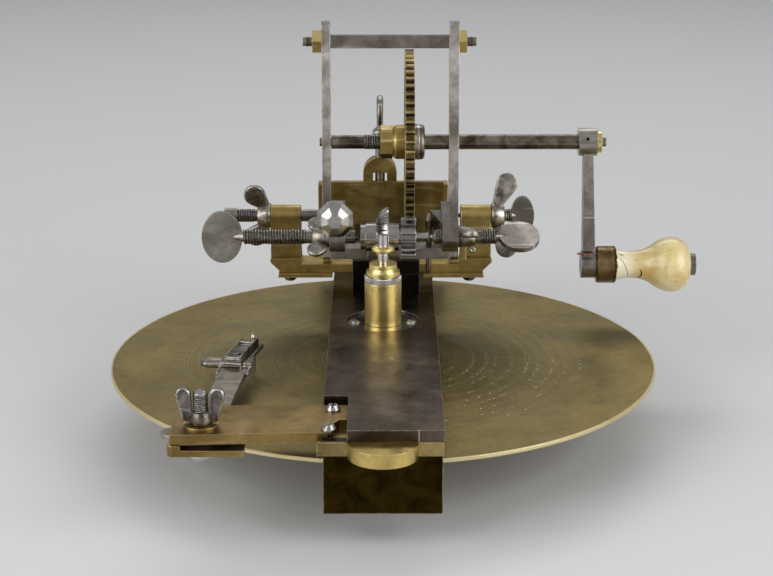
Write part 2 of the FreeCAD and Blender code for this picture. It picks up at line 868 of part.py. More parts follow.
def make_lower_frame():
    front = s.foot_thick - s.bed_front - s.mortise_depth
    back = s.bed_back - s.foot_thick + s.mortise_depth
    piece = Piece("lower_bar")
    piece.pad_z([rectangle(-half_bar, front, half_bar, back)], s.vice_height, lower_top)
    cup_low = lower_top - s.footstep_depth
    piece.cut_z([circle(0, 0, s.footstep_radius + s.run_gap)], cup_low, lower_top)
    keep("lower_bar", piece.done())

    piece = Piece("vice_block")
    half = s.vice_width / 2
    low, high = s.vice_middle - s.vice_length / 2, s.vice_middle + s.vice_length / 2
    piece.pad_z([rectangle(-half, low, half, high)], 0, s.vice_height)
    keep("vice_block", piece.done())

    piece = Piece("footstep")
    top = lower_top + s.footstep_rise
    outline = path(
        (0, cup_low),
        (s.footstep_radius, cup_low),
        (s.footstep_radius, top),
        (s.cup_radius, top),
        (0, top - s.cup_radius),
    )
    piece.turn_z(outline)
    keep("footstep", piece.done())


def make_bush():
    piece = Piece("bearing_bush")
    low = bed_top - s.recess_depth
    outline = path(
        (journal_bore, under_low),
        (s.sleeve_radius, under_low),
        (s.sleeve_radius, low),
        (s.recess_radius - s.shake, low),
        (s.recess_radius - s.shake, low + s.flange_thick),
        (journal_bore, low + s.flange_thick),
    )
    piece.turn_z(outline)
    holes = [circle(side * s.bush_screw_circle, 0, shank_bore) for side in (-1, 1)]
    piece.cut_z(holes, low, low + s.flange_thick)
    keep("bearing_bush", piece.done())


def make_headed_screw(label, head_radius, head_height, shank_radius, shank_length, slot=0.8):
    """A round-headed slotted screw, its head's underside at its own origin."""
    piece = Piece(label)
    crown = head_radius * 0.62
    outline = path(
        (0, -shank_length),
        (shank_radius, -shank_length),
        (shank_radius, 0),
        (head_radius, 0),
        (head_radius, head_height * 0.35),
        (crown, head_height),
        (0, head_height),
    )
    piece.turn_z(outline)
    half_slot = as_size(slot) / 2
    bar = rectangle(-head_radius - 1, -half_slot, head_radius + 1, half_slot)
    piece.cut_z([bar], head_height * 0.45, head_height + 1)
    return piece


def make_frame_screws():
    low = bed_top - s.recess_depth + s.flange_thick
    length = s.bed_thick - s.recess_depth + s.flange_thick - s.shake
    screws = []
    for side in (-1, 1):
        screw = make_headed_screw(
            "bush_screw", s.bush_screw_head, s.bush_screw_head_height, s.bush_screw_shank, length
        )
        screws.append(screw.done((side * s.bush_screw_circle, 0, low), (0, 0, 1), 70 * side))
    for (x, y), turn in zip(bracket_screws, (50, 80)):
        screw = make_headed_screw(
            "bracket_screw",
            s.bracket_screw_head,
            s.bracket_screw_head_height,
            s.bracket_screw_shank,
            s.bracket_thick + s.bracket_screw_depth - s.shake,
        )
        screws.append(screw.done((x, y, bracket_top), (0, 0, 1), turn))
    grouped("slotted_screws", screws)


# Heights along the arbor
bush_top = bed_top - s.recess_depth + s.flange_thick
barrel_low = bush_top + s.shake
barrel_top = barrel_low + s.barrel_height
ring_top = barrel_top + s.ring_height
collet_low = ring_top + s.ring_neck_height
collet_top = collet_low + 3 * s.collet_step
core_top = collet_low + s.collet_step
work_nut_low = collet_top + s.work_gap
spindle_top = work_nut_low + s.work_nut_height + s.spindle_end
cone_tip = lower_top + s.footstep_rise - s.cup_radius + s.shake


def make_spindle():
    piece = Piece("arbor")
    outline = path(
        (0, cone_tip),
        (s.point_radius, cone_tip + s.point_radius),
        (s.point_radius, plate_low - s.plate_nut_thick - 1),
        (s.journal_radius, plate_low - s.plate_nut_thick - 1),
        (s.journal_radius, plate_top),
        (s.shoulder_radius, plate_top),
        (s.shoulder_radius, plate_top + s.shoulder_thick),
        (s.journal_radius, plate_top + s.shoulder_thick),
        (s.journal_radius, barrel_low),
        (s.core_radius, barrel_low),
        (s.core_radius, core_top),
        (s.thread_radius, core_top),
        (s.thread_radius, work_nut_low + s.work_nut_height),
        (s.spindle_radius, work_nut_low + s.work_nut_height),
        (s.spindle_radius, spindle_top),
        (0, spindle_top),
    )
    piece.turn_z(outline)
    keep("arbor", piece.done())

    piece = Piece("dividing_plate")
    piece.pad_z([circle(0, 0, s.plate_radius), circle(0, 0, journal_bore)], plate_low, plate_top)
    keep("dividing_plate", piece.done())

    piece = Piece("plate_nut")
    low = plate_low - s.plate_nut_thick
    piece.pad_z([circle(0, 0, s.plate_nut_radius), circle(0, 0, journal_bore)], low, plate_low)
    keep("plate_nut", piece.done())

    core_bore = s.core_radius + s.run_gap
    piece = Piece("barrel")
    piece.pad_z([circle(0, 0, s.barrel_radius), circle(0, 0, core_bore)], barrel_low, barrel_top)
    keep("barrel", piece.done())

    piece = Piece("collet_ring")
    outline = path(
        (core_bore, barrel_top),
        (s.ring_radius, barrel_top),
        (s.ring_radius, ring_top),
        (s.ring_neck_radius, ring_top),
        (s.ring_neck_radius, collet_low),
        (core_bore, collet_low),
    )
    piece.turn_z(outline)
    keep("collet_ring", piece.done())

    piece = Piece("collet")
    spindle_bore = s.thread_radius + s.run_gap
    outline = path(
        (core_bore, collet_low),
        (s.collet_low_radius, collet_low),
        (s.collet_low_radius, collet_low + s.collet_step),
        (s.collet_mid_radius, collet_low + s.collet_step),
        (s.collet_top_radius, collet_low + 1.9 * s.collet_step),
        (s.collet_top_radius, collet_top),
        (spindle_bore, collet_top),
        (spindle_bore, core_top),
        (core_bore, core_top),
    )
    piece.turn_z(outline)
    keep("collet", piece.done())

    piece = Piece("work_nut")
    low = work_nut_low
    high = low + s.work_nut_height
    bevel = 1
    outline = path(
        (spindle_bore, low),
        (s.work_nut_radius - bevel, low),
        (s.work_nut_radius, low + bevel),
        (s.work_nut_radius, high - bevel),
        (s.work_nut_radius - 2 * bevel, high),
        (spindle_bore, high),
    )
    piece.turn_z(outline)
    keep("work_nut", piece.done())


def make_wing_nut(label, hub_radius, hub_length, reach, along, lobe, bore, hub_sides=0):
    """A wing nut whose axis is its own Z axis, its seat at Z = 0, its wings in the XZ plane."""
    piece = Piece(label)
    base = s.wing_thick * 0.4
    outline = path(
        (bore, 0),
        (hub_radius, 0),
        (hub_radius, base),
        (hub_radius * 0.82, hub_length),
        (bore, hub_length),
    )
    if hub_sides:
        piece.pad_z([polygon(hub_sides, 2 * hub_radius), circle(0, 0, bore)], 0, hub_length)
    else:
        piece.turn_z(outline)
    half = s.wing_thick / 2
    root = bore + 0.5
    web = path(
        (root, hub_length * 0.12),
        (reach + lobe * 0.9, along - lobe * 0.45),
        (reach - lobe * 0.9, along + lobe * 0.45),
        (root, hub_length * 0.92),
    )
    arm = piece.pad_y([web], -half, half)
    tip = piece.pad_y([circle(reach, along, lobe)], -half, half)
    piece.repeat([arm, tip], "Z_Axis", 2)
    return piece


stud_x = -s.stud_x
stud_y = -s.stud_y
arm_low = pad_top - s.shake * 2 - s.arm_thick
arm_top = arm_low + s.arm_thick
clamp_top = arm_low - s.shake * 2
clamp_low = clamp_top - s.clamp_thick
stud_bore = s.stud_radius + s.run_gap


def make_index_bracket():
    piece = Piece("index_bracket")
    left = -s.bracket_left
    corner = s.bracket_corner
    outline = path(
        (left, -s.bracket_front),
        (-s.bracket_cut_left, -s.bracket_front_right),
        (-s.bracket_cut_left, -s.bracket_cut_front),
        (-half_bar - 4, -s.bracket_cut_back),
        (-half_bar - s.shake, -s.bracket_cut_back),
        (-half_bar - s.shake, -s.bracket_back),
        (left + corner, -s.bracket_back),
        (left, -s.bracket_back - corner),
    )
    piece.pad_z([outline, circle(stud_x, stud_y, stud_bore)], pad_top, bracket_top)
    holes = [circle(x, y, bracket_bore) for x, y in bracket_screws]
    piece.cut_z(holes, pad_top, bracket_top)
    keep("index_bracket", piece.done())


def make_clamp_plate():
    piece = Piece("index_clamp_plate")
    left = stud_x - s.clamp_left
    right = stud_x + s.clamp_right
    front = stud_y - s.clamp_front
    back = stud_y + s.clamp_back
    corner = 3
    outline = path(
        (left + corner, front, corner, 1),
        (right, front),
        (right, back),
        (left + corner, back),
        (left, back - corner, corner, 1),
        (left, front + corner),
    )
    piece.pad_z([outline, circle(stud_x, stud_y, stud_bore)], clamp_low, clamp_top)
    heel = path(
        (left + corner, front, corner, 1),
        (left + s.heel_length, front),
        (left + s.heel_length, front + s.heel_depth),
        (left, front + s.heel_depth),
        (left, front + corner),
    )
    piece.pad_z([heel], clamp_top, pad_top)
    keep("index_clamp_plate", piece.done())


def make_stud():
    piece = Piece("index_stud")
    head_low = clamp_low - s.stud_head_height
    outline = path(
        (0, head_low),
        (s.stud_head_radius * 0.72, head_low),
        (s.stud_head_radius, clamp_low - s.stud_head_height * 0.55),
        (s.stud_head_radius, clamp_low),
        (s.stud_radius, clamp_low),
        (s.stud_radius, bracket_top + s.stud_rise - 1),
        (s.stud_radius - 1, bracket_top + s.stud_rise),
        (0, bracket_top + s.stud_rise),
    )
    piece.turn_z(outline)
    keep("index_stud", piece.done((stud_x, stud_y, 0)))

    piece = Piece("index_washer")
    high = bracket_top + s.washer_thick
    piece.pad_z([circle(0, 0, s.washer_radius), circle(0, 0, stud_bore)], bracket_top, high)
    keep("index_washer", piece.done((stud_x, stud_y, 0)))

    nut = make_wing_nut(
        "index_wing_nut",
        s.small_nut_radius,
        s.small_nut_height,
        s.small_wing_reach,
        s.small_wing_rise - s.small_wing_lobe,
        s.small_wing_lobe,
        stud_bore,
        hub_sides=6,
    )
    keep("index_wing_nut", nut.done((stud_x, stud_y, high), (0, 0, 1), -4))


# The index arm is drawn about the stud, running along its own Y axis, then turned to its lean.
def make_index_arm():
    piece = Piece("index_arm")
    half = s.arm_half_width
    tail = s.tail_half_width
    reach = s.tail_reach
    strip = path(
        (half, 0, half, 1),
        (half, s.arm_length),
        (-half, s.arm_length),
        (-half, 0),
        (0, -half, half, 1),
    )
    piece.pad_z([strip], arm_low, arm_top)
    side = path(
        (0, -tail + 4),
        (0, tail + 4),
        (-reach + tail, tail + 4),
        (-reach, 4, tail, 1),
        (-reach + tail, -tail + 4, tail, 1),
    )
    piece.pad_z([side], arm_low, arm_top)
    piece.cut_z([circle(0, 0, stud_bore)], arm_low, arm_top)
    keep("index_arm", piece.done((stud_x, stud_y, 0), (0, 0, 1), -s.arm_lean))

    half_length = s.slider_length / 2
    middle = s.slider_at
    inner = half + s.slide_gap
    outer = inner + s.slider_wall
    low = arm_low - s.slide_gap - s.slider_wall
    high = arm_top + s.slide_gap + s.slider_top
    piece = Piece("index_slider")
    piece.pad_z([rectangle(-outer, middle - half_length, outer, middle + half_length)], low, high)
    slot = rectangle(-inner, arm_low - s.slide_gap, inner, arm_top + s.slide_gap)
    piece.cut_y([slot], middle - half_length, middle + half_length)
    finger_half = s.finger_width / 2
    finger_end = -outer - s.finger_reach
    finger = path(
        (-outer + 2, middle - finger_half - 6),
        (-outer + 2, middle + finger_half - 6),
        (finger_end + finger_half, middle + finger_half - 6),
        (finger_end, middle - 6, finger_half, 1),
        (finger_end + finger_half, middle - finger_half - 6, finger_half, 1),
    )
    finger_low = high - s.finger_thick + s.finger_rise
    piece.pad_z([finger], finger_low, finger_low + s.finger_thick)
    keep("index_slider", piece.done((stud_x, stud_y, 0), (0, 0, 1), -s.arm_lean))

    turn = s.head_turn + s.arm_lean
    start_x = stud_x + middle * sin_of(s.arm_lean)
    start_y = stud_y + middle * cos_of(s.arm_lean)
    bar_low = high + s.head_rise
    bar_high = bar_low + s.head_thick
    head_half = s.head_width / 2
    point_at = s.head_length - half_length - head_half
    piece = Piece("index_pointer")
    piece.pad_z([rectangle(-head_half, -half_length, head_half, s.head_length - half_length)], bar_low, bar_high)
    rise = rectangle(-head_half, -half_length, -head_half + 2, s.head_length - half_length)
    piece.pad_z([rise], bar_high, bar_high + 1.4)
    keep("index_pointer", piece.done((start_x, start_y, 0), (0, 0, 1), -turn))
    pointer = piece.body

    pin = Piece("index_pin")
    cone_low = plate_top + s.index_tip_gap
    outline = path(
        (0, cone_low),
        (s.index_tip_radius, cone_low),
        (s.index_point_radius, cone_low + s.index_cone),
        (s.index_point_radius, bar_high + s.index_button_rise - 1),
        (s.index_point_radius - 0.6, bar_high + s.index_button_rise),
        (0, bar_high + s.index_button_rise),
    )
    pin.turn_z(outline)
    pin_x = start_x + point_at * sin_of(turn)
    pin_y = start_y + point_at * cos_of(turn)
    pin.done((pin_x, pin_y, 0))
    fused = doc.addObject("Part::MultiFuse", "index_pointer_whole")
    fused.Shapes = [pointer, pin.body]
    pointer.Label = "index_pointer_bar"
    keep("index_pointer", fused)


# Carriage heights and places
slide_low = bed_top + s.slide_gap
saddle_top = slide_low + s.saddle_height
yoke_bar_top = s.yoke_low + s.yoke_bar_height
yoke_back = s.yoke_front + s.yoke_depth
strip_low = s.yoke_low - s.strip_height
yoke_screw_bore = s.yoke_screw_shank + s.run_gap
screw_bore = s.screw_radius + s.run_gap
pivot_bore = s.pivot_screw_radius + s.run_gap
rear_back = s.rear_front + s.rear_thick


def make_saddle():
    piece = Piece("saddle")
    outline = rectangle(-s.saddle_left, s.saddle_front, s.saddle_right, s.rear_front)
    piece.pad_z([outline], slide_low, saddle_top)
    window = rectangle(s.yoke_front, strip_low, yoke_back, yoke_bar_top)
    piece.cut_x([window], -s.saddle_left, s.saddle_right)
    keep("saddle", piece.done())


def make_yoke():
    piece = Piece("yoke")
    shoulder_top = s.yoke_low + s.yoke_shoulder
    chamfer = s.yoke_chamfer
    outline = path(
        (-s.yoke_left + chamfer, s.yoke_low),
        (s.yoke_right - chamfer, s.yoke_low),
        (s.yoke_right, s.yoke_low + chamfer),
        (s.yoke_right, shoulder_top),
        (s.yoke_right_inner, shoulder_top),
        (s.yoke_right_inner, yoke_bar_top),
        (-s.yoke_left_inner, yoke_bar_top),
        (-s.yoke_left_inner, shoulder_top),
        (-s.yoke_left, shoulder_top),
        (-s.yoke_left, s.yoke_low + chamfer),
    )
    piece.pad_y([outline], s.yoke_front, yoke_back)
    lug_low = s.pivot_y - s.lug_radius
    lug_high = s.pivot_y + s.lug_radius
    radius = s.lug_radius
    lug = path(
        (lug_low, shoulder_top),
        (lug_high, shoulder_top),
        (lug_high, s.pivot_z),
        (s.pivot_y, s.pivot_z + radius, radius, 1),
        (lug_low, s.pivot_z, radius, 1),
    )
    piece.pad_x([lug], -s.yoke_left, -s.yoke_left_inner)
    piece.pad_x([lug], s.yoke_right_inner, s.yoke_right)
    bore = circle(s.pivot_y, s.pivot_z, pivot_bore)
    piece.cut_x([bore], -s.yoke_left, -s.yoke_left_inner)
    piece.cut_x([bore], s.yoke_right_inner, s.yoke_right)
    holes = [circle(x, s.pivot_y, yoke_screw_bore) for x in (-s.yoke_screw_left, s.yoke_screw_right)]
    piece.cut_z(holes, s.yoke_low, s.yoke_low + s.yoke_screw_depth)
    keep("yoke", piece.done())


def make_yoke_strip():
    piece = Piece("yoke_strip")
    ledge_front = s.yoke_front - s.ledge_depth
    left, right = -s.strip_left, s.strip_right
    outline = path(
        (left, ledge_front),
        (-s.ledge_inner, ledge_front),
        (-s.ledge_inner, s.yoke_front),
        (s.ledge_inner, s.yoke_front),
        (s.ledge_inner, ledge_front),
        (right, ledge_front),
        (right, yoke_back),
        (left, yoke_back),
    )
    holes = [circle(x, s.pivot_y, yoke_screw_bore) for x in (-s.yoke_screw_left, s.yoke_screw_right)]
    piece.pad_z([outline] + holes, strip_low, s.yoke_low)
    keep("yoke_strip", piece.done())

    screws = []
    for x in (-s.yoke_screw_left, s.yoke_screw_right):
        screw = make_headed_screw(
            "yoke_screw",
            s.yoke_screw_head,
            s.yoke_screw_head_height,
            s.yoke_screw_shank,
            s.strip_height + s.yoke_screw_depth - s.shake,
        )
        screws.append(screw.done((x, s.pivot_y, strip_low), (1, 0, 0), 180))
    grouped("yoke_screws", screws)


def make_rear_plate():
    piece = Piece("rear_plate")
    half = s.rear_half
    gap = s.bed_width / 2 + s.slide_gap
    skirt_low = bed_top - s.rear_skirt
    outline = path(
        (-half, skirt_low),
        (-gap, skirt_low),
        (-gap, slide_low),
        (gap, slide_low),
        (gap, skirt_low),
        (half, skirt_low),
        (half, s.rear_top),
        (-half, s.rear_top),
    )
    piece.pad_y([outline], s.rear_front, rear_back)
    for low, high in ((-half, -half + s.rear_rib), (half - s.rear_rib, half)):
        rib = rectangle(low, slide_low, high, s.rear_top)
        piece.pad_y([rib], s.rear_front - s.rear_rib_depth, s.rear_front)
    keep("rear_plate", piece.done())

    gib_top = bed_low - s.slide_gap
    gib_low = gib_top - s.gib_thick
    strips = []
    for side in (-1, 1):
        strip = Piece("gib_strip")
        inner, outer = side * s.gib_inner, side * half
        low_x, high_x = (outer, inner) if side < 0 else (inner, outer)
        length = s.gib_length
        strip.pad_z([rectangle(low_x, rear_back, high_x, rear_back + length)], gib_low, gib_top)
        edge = side * gap
        low_x, high_x = (outer, edge) if side < 0 else (edge, outer)
        strip.pad_z([rectangle(low_x, rear_back, high_x, rear_back + length)], gib_top, bed_top)
        strips.append(strip.done())
    grouped("gibs", strips)


def make_arch():
    piece = Piece("clamp_arch")
    left, right = -s.arch_left, s.arch_right
    middle = -s.clamp_x
    half = right - middle
    rise = half
    low = slide_low
    slot = s.arch_slot_half
    front, back = rear_back, rear_back + s.arch_depth
    outline = path(
        (left, low),
        (middle - slot, low),
        (middle - slot, s.arch_slot_top),
        (middle + slot, s.arch_slot_top),
        (middle + slot, low),
        (right, low),
        (right, s.arch_shoulder),
        (middle, s.arch_shoulder + rise, half, 1),
        (left, s.arch_shoulder, half, 1),
    )
    piece.pad_y([outline], front, back)
    centre_y = rear_back + s.arch_depth / 2
    top = s.arch_shoulder + rise
    piece.cut_z([circle(middle, centre_y, s.clamp_radius + s.run_gap)], s.arch_slot_top, top)
    keep("clamp_arch", piece.done())

    piece = Piece("clamp_screw_shank")
    collar_low = s.clamp_collar_low
    collar_high = collar_low + s.clamp_collar_height
    outline = path(
        (0, slide_low + s.shake),
        (s.clamp_radius, slide_low + s.shake),
        (s.clamp_radius, collar_low),
        (s.clamp_collar_radius, collar_low),
        (s.clamp_collar_radius, collar_high - 1),
        (s.bow_wire, collar_high + 1.5),
        (0, collar_high + 1.5),
    )
    piece.turn_z(outline)
    shank = piece.done((middle, centre_y, 0))
    bow = doc.addObject("Part::Torus", "clamp_screw_bow")
    bind(bow, "Radius1", s.bow_radius)
    bind(bow, "Radius2", s.bow_wire)
    place(bow, (middle, centre_y, s.bow_middle), (0, 1, 0), 90)
    joined("clamp_screw", [shank, bow])


# Swing frame: the uprights lean so that the crank axis lies on their middle line.
lean = angle_of(s.crank_lean, s.crank_over)
upright_left_in = s.upright_left_in
upright_right_out = s.upright_right_out
pivot_at = (0, s.pivot_y, s.pivot_z)
stud_end_bore = s.stud_end_radius + s.run_gap


def make_upright(label, low, high, shaft_bore, seat_low, seat_high):
    """A flat bar in the frame of the pivot, leaning back to the crank axis."""
    piece = Piece(label)
    half = s.upright_half
    corner = 2
    outline = path(
        (-half + corner, -s.upright_down),
        (half - corner, -s.upright_down),
        (half, corner - s.upright_down),
        (half, s.upright_up - corner),
        (half - corner, s.upright_up),
        (corner - half, s.upright_up),
        (-half, s.upright_up - corner),
        (-half, corner - s.upright_down),
    )
    holes = [circle(0, s.crank_along, shaft_bore), circle(0, s.top_bar_at, stud_end_bore)]
    piece.pad_x([outline] + holes, low, high)
    piece.cut_x([circle(0, 0, s.point_seat)], seat_low, seat_high)
    keep(label, piece.done(pivot_at, (1, 0, 0), -lean))


def make_uprights():
    left_bore = s.shaft_pivot_radius + s.run_gap
    right_bore = s.shaft_radius + s.run_gap
    seat = s.point_entry + s.shake
    left = -s.upright_left_out
    right = upright_right_out
    make_upright("upright_left", left, -upright_left_in, left_bore, left, left + seat)
    make_upright("upright_right", s.upright_right_in, right, right_bore, right - seat, right)


def make_top_bar():
    piece = Piece("top_bar")
    half_depth = s.top_bar_depth / 2
    half_height = s.top_bar_height / 2
    middle = s.top_bar_at
    bar = rectangle(-half_depth, middle - half_height, half_depth, middle + half_height)
    piece.pad_x([bar], -upright_left_in, s.upright_right_in)
    stud = circle(0, middle, s.stud_end_radius)
    piece.pad_x([stud], -s.stud_left_end, -upright_left_in)
    piece.pad_x([stud], s.upright_right_in, s.stud_right_end)
    keep("top_bar", piece.done(pivot_at, (1, 0, 0), -lean))

    nuts = []
    spans = (
        (-s.upright_left_out - s.top_nut_left_thick, -s.upright_left_out),
        (upright_right_out, upright_right_out + s.top_nut_right_thick),
    )
    along_y = s.top_bar_at * sin_of(lean)
    along_z = s.top_bar_at * cos_of(lean)
    for low, high in spans:
        nut = Piece("top_nut")
        nut.pad_x([polygon(6, s.top_nut_across), circle(0, 0, stud_end_bore)], low, high)
        nuts.append(nut.done((0, s.pivot_y + along_y, s.pivot_z + along_z), (1, 0, 0), 20))
    grouped("top_nuts", nuts)


def cheek_outline(horn):
    """The side view of an arm from the upright to the cutter's centre, in (Y, Z)."""
    radius = s.cheek_radius
    back = s.pivot_y
    bar_back = s.crossbar_front + s.crossbar_depth
    front = s.cutter_y - radius
    top = s.cutter_z + horn
    return path(
        (back, s.cutter_z - radius - 2),
        (back, s.pivot_z + radius),
        (s.cutter_y + radius, top),
        (front, top),
        (front, s.cutter_z),
        (s.cutter_y, s.cutter_z - radius, radius, 1),
        (s.crossbar_front, s.crossbar_low + s.crossbar_height),
        (bar_back, s.crossbar_low + s.crossbar_height),
    )


def make_cheeks():
    inner = upright_left_in - s.cheek_left_thick
    piece = Piece("cheek_left")
    bore = circle(s.cutter_y, s.cutter_z, screw_bore)
    piece.pad_x([cheek_outline(s.cheek_horn), bore], -upright_left_in, -inner)
    front = s.cutter_y - s.cheek_radius
    hole = circle(-s.knob_x, s.knob_z, s.knob_shank + s.run_gap)
    piece.cut_y([hole], front, front + s.knob_shank_length)
    keep("cheek_left", piece.done())

    piece = Piece("cheek_right")
    inner = s.upright_right_in - s.cheek_right_web
    outer = inner + s.cheek_right_thick
    piece.pad_x([cheek_outline(s.cheek_radius + 1), bore], inner, s.upright_right_in)
    front = s.cutter_y - s.cheek_radius
    boss = path(
        (front + 19, s.cutter_z - s.cheek_radius),
        (front + 19, s.cutter_z + s.cheek_radius + 1),
        (front, s.cutter_z + s.cheek_radius + 1),
        (front, s.cutter_z),
        (s.cutter_y, s.cutter_z - s.cheek_radius, s.cheek_radius, 1),
    )
    piece.pad_x([boss, bore], s.upright_right_in, outer)
    web = path(
        (inner, s.cutter_y + 4),
        (inner, s.pivot_y - 4),
        (inner - s.web_reach, s.pivot_y - 4),
    )
    piece.pad_z([web], s.web_low, s.web_high)
    keep("cheek_right", piece.done())


def make_crossbar():
    piece = Piece("crossbar")
    left, right = -upright_left_in, s.upright_right_in
    front = s.crossbar_front
    back = front + s.crossbar_depth
    notch = front + s.crossbar_notch_depth
    outline = path(
        (left, front),
        (-s.crossbar_notch_left, front),
        (-s.crossbar_notch_left, notch),
        (s.crossbar_notch_right, notch),
        (s.crossbar_notch_right, front),
        (right, front),
        (right, back),
        (left, back),
    )
    hole = circle(s.stop_x, s.stop_y, s.stop_radius + s.run_gap)
    piece.pad_z([outline, hole], s.crossbar_low, s.crossbar_low + s.crossbar_height)
    keep("crossbar", piece.done())

    piece = Piece("stop_screw")
    low = s.yoke_low + s.run_gap
    outline = path(
        (0, low),
        (s.stop_radius, low),
        (s.stop_radius, s.stop_neck),
        (s.stop_head_radius, s.stop_neck + 1.5),
        (s.stop_head_radius, s.stop_top - 4),
        (s.stop_radius * 0.5, s.stop_top),
        (0, s.stop_top),
    )
    piece.turn_z(outline)
    keep("stop_screw", piece.done((s.stop_x, s.stop_y, 0)))


def make_knob():
    """The faceted eight-sided knob, drawn about its own Z axis and laid towards the front."""
    corner = 1 / (2 * math.cos(math.pi / 8))

    def ring(name, across, height):
        shape = doc.addObject("Part::RegularPolygon", name)
        shape.Polygon = 8
        bind(shape, "Circumradius", across * corner)
        place(shape, (0, 0, height), (0, 0, 1), 22.5)
        return shape

    rim = s.knob_rim
    back = ring("knob_back", s.knob_across * 0.7, 0)
    low = ring("knob_low", s.knob_across, rim)
    loft_back = doc.addObject("Part::Loft", "knob_back_facets")
    loft_back.Sections = [back, low]
    loft_back.Solid = True
    loft_back.Ruled = True
    front = ring("knob_front", s.knob_across, rim)
    nose = ring("knob_nose", s.knob_nose_across, s.knob_depth)
    loft_front = doc.addObject("Part::Loft", "knob_front_facets")
    loft_front.Sections = [front, nose]
    loft_front.Solid = True
    loft_front.Ruled = True
    shank = doc.addObject("Part::Cylinder", "knob_shank")
    bind(shank, "Radius", s.knob_shank)
    bind(shank, "Height", s.knob_shank_length)
    place(shank, (0, 0, s.shake - s.knob_shank_length))
    knob = doc.addObject("Part::MultiFuse", "clamp_knob")
    knob.Shapes = [loft_back, loft_front, shank]
    front_face = s.cutter_y - s.cheek_radius
    place(knob, (-s.knob_x, front_face - s.shake, s.knob_z), (1, 0, 0), 90)
    keep("clamp_knob", knob)


def make_disc(name, half_along, half_across, at_x, tilt):
    """The flat oval head of a thumbscrew: half_along lies along the screw."""
    oval = doc.addObject("Part::Ellipse", name + "_outline")
    long_across = half_across.value > half_along.value
    bind(oval, "MajorRadius", half_across if long_across else half_along)
    bind(oval, "MinorRadius", half_along if long_across else half_across)
    if long_across:
        place(oval, (0, 0, 0), (0, 0, 1), 90)
    disc = doc.addObject("Part::Extrusion", name)
    disc.Base = oval
    disc.DirMode = "Normal"
    bind(disc, "LengthFwd", s.disc_thick)
    disc.Solid = True
    disc.Symmetric = True
    place(disc, (at_x, 0, 0), (1, 0, 0), tilt)
    return disc


def make_thumb_screw(label, tip, head, side, radius, half_along, half_across, tilt, at):
    """A pointed screw along X: side is -1 where its head lies to the left."""
    piece = Piece(label + "_stem")
    point = s.point_length * side
    neck = head - half_along * side * 0.55
    shoulder = neck - half_along * side * 0.8
    outline = path(
        (tip, 0),
        (tip + point, s.point_length * 0.55),
        (tip + point * 1.2, radius),
        (shoulder, radius),
        (neck, s.disc_thick / 2),
        (neck, 0),
    )
    piece.turn_x(outline)
    stem = piece.done()
    disc = make_disc(label + "_disc", half_along, half_across, head, tilt)
    screw = joined(label, [stem, disc])
    place(screw, (0, at[0], at[1]))


def make_pivot_screw_left(tip):
    piece = Piece("pivot_screw_left")
    end = -s.pivot_left_end
    outline = path(
        (tip, 0),
        (tip - s.point_length, s.point_length * 0.55),
        (tip - s.point_length * 1.2, s.pivot_screw_radius),
        (end, s.pivot_screw_radius),
        (end, s.pivot_left_head),
        (end - s.pivot_left_head_length, s.pivot_left_head),
        (end - s.pivot_left_head_length, 0),
    )
    piece.turn_x(outline)
    keep("pivot_screw_left", piece.done(pivot_at))


def make_screws():
    cutter_at = (s.cutter_y, s.cutter_z)
    entry = s.point_entry
    make_thumb_screw(
        "centre_screw_left",
        -s.arbor_left + entry,
        -s.left_disc_x,
        -1,
        s.screw_radius,
        s.disc_half_short,
        s.disc_half_long,
        90,
        cutter_at,
    )
    make_thumb_screw(
        "centre_screw_right",
        s.arbor_right - entry,
        s.right_disc_x,
        1,
        s.screw_radius,
        s.disc_half_short,
        s.disc_half_long,
        s.right_disc_tilt,
        cutter_at,
    )
    make_thumb_screw(
        "pivot_screw_right",
        upright_right_out - entry,
        s.pivot_right_disc_x,
        1,
        s.pivot_screw_radius,
        s.pivot_disc_half_short,
        s.pivot_disc_half_long,
        90,
        (s.pivot_y, s.pivot_z),
    )
    make_pivot_screw_left(-s.upright_left_out + entry)


def make_lock_nut(label, sizes, bore, seat, side, turn, at):
    """A wing nut on a screw along X, seated at one X place and opening away from the frame."""
    nut = make_wing_nut(label, *sizes, bore)
    body = nut.done()
    tilt = FreeCAD.Rotation(FreeCAD.Vector(1, 0, 0), as_size(turn).value)
    lay = FreeCAD.Rotation(FreeCAD.Vector(0, 1, 0), 90 * side)
    body.Placement = FreeCAD.Placement(FreeCAD.Vector(0, 0, 0), tilt.multiply(lay))
    bind(body, "Placement.Base.x", seat)
    bind(body, "Placement.Base.y", at[0])
    bind(body, "Placement.Base.z", at[1])
    keep(label, body)


def make_lock_nuts():
    front = (s.cutter_y, s.cutter_z)
    back = (s.pivot_y, s.pivot_z)
    small = (s.nut_hub_radius, s.nut_hub_length, s.nut_wing_reach, s.nut_wing_along, s.nut_wing_lobe)
    large = (
        s.pivot_hub_radius,
        s.pivot_hub_length,
        s.pivot_wing_reach,
        s.pivot_wing_along,
        s.pivot_wing_lobe,
    )
    left_seat = -upright_left_in - s.shake
    right_seat = s.upright_right_in - s.cheek_right_web + s.cheek_right_thick + s.shake
    make_lock_nut("centre_nut_left", small, screw_bore, left_seat, -1, s.left_nut_turn, front)
    make_lock_nut("centre_nut_right", small, screw_bore, right_seat, 1, s.right_nut_turn, front)
    left_seat = -s.yoke_left - s.shake
    right_seat = s.yoke_right + s.shake
    make_lock_nut("pivot_nut_left", large, pivot_bore, left_seat, -1, s.pivot_left_turn, back)
    make_lock_nut("pivot_nut_right", large, pivot_bore, right_seat, 1, s.pivot_right_turn, back)


mesh_angle = angle_of(s.mesh_rise, s.mesh_back)
module = s.module
gear_pitch = s.gear_pitch
gear_outer = s.gear_outer
gear_root = s.gear_root
pinion_pitch = s.pinion_pitch
pinion_outer = s.pinion_outer
pinion_root = s.pinion_root
pitch_gap = 0.9 * module


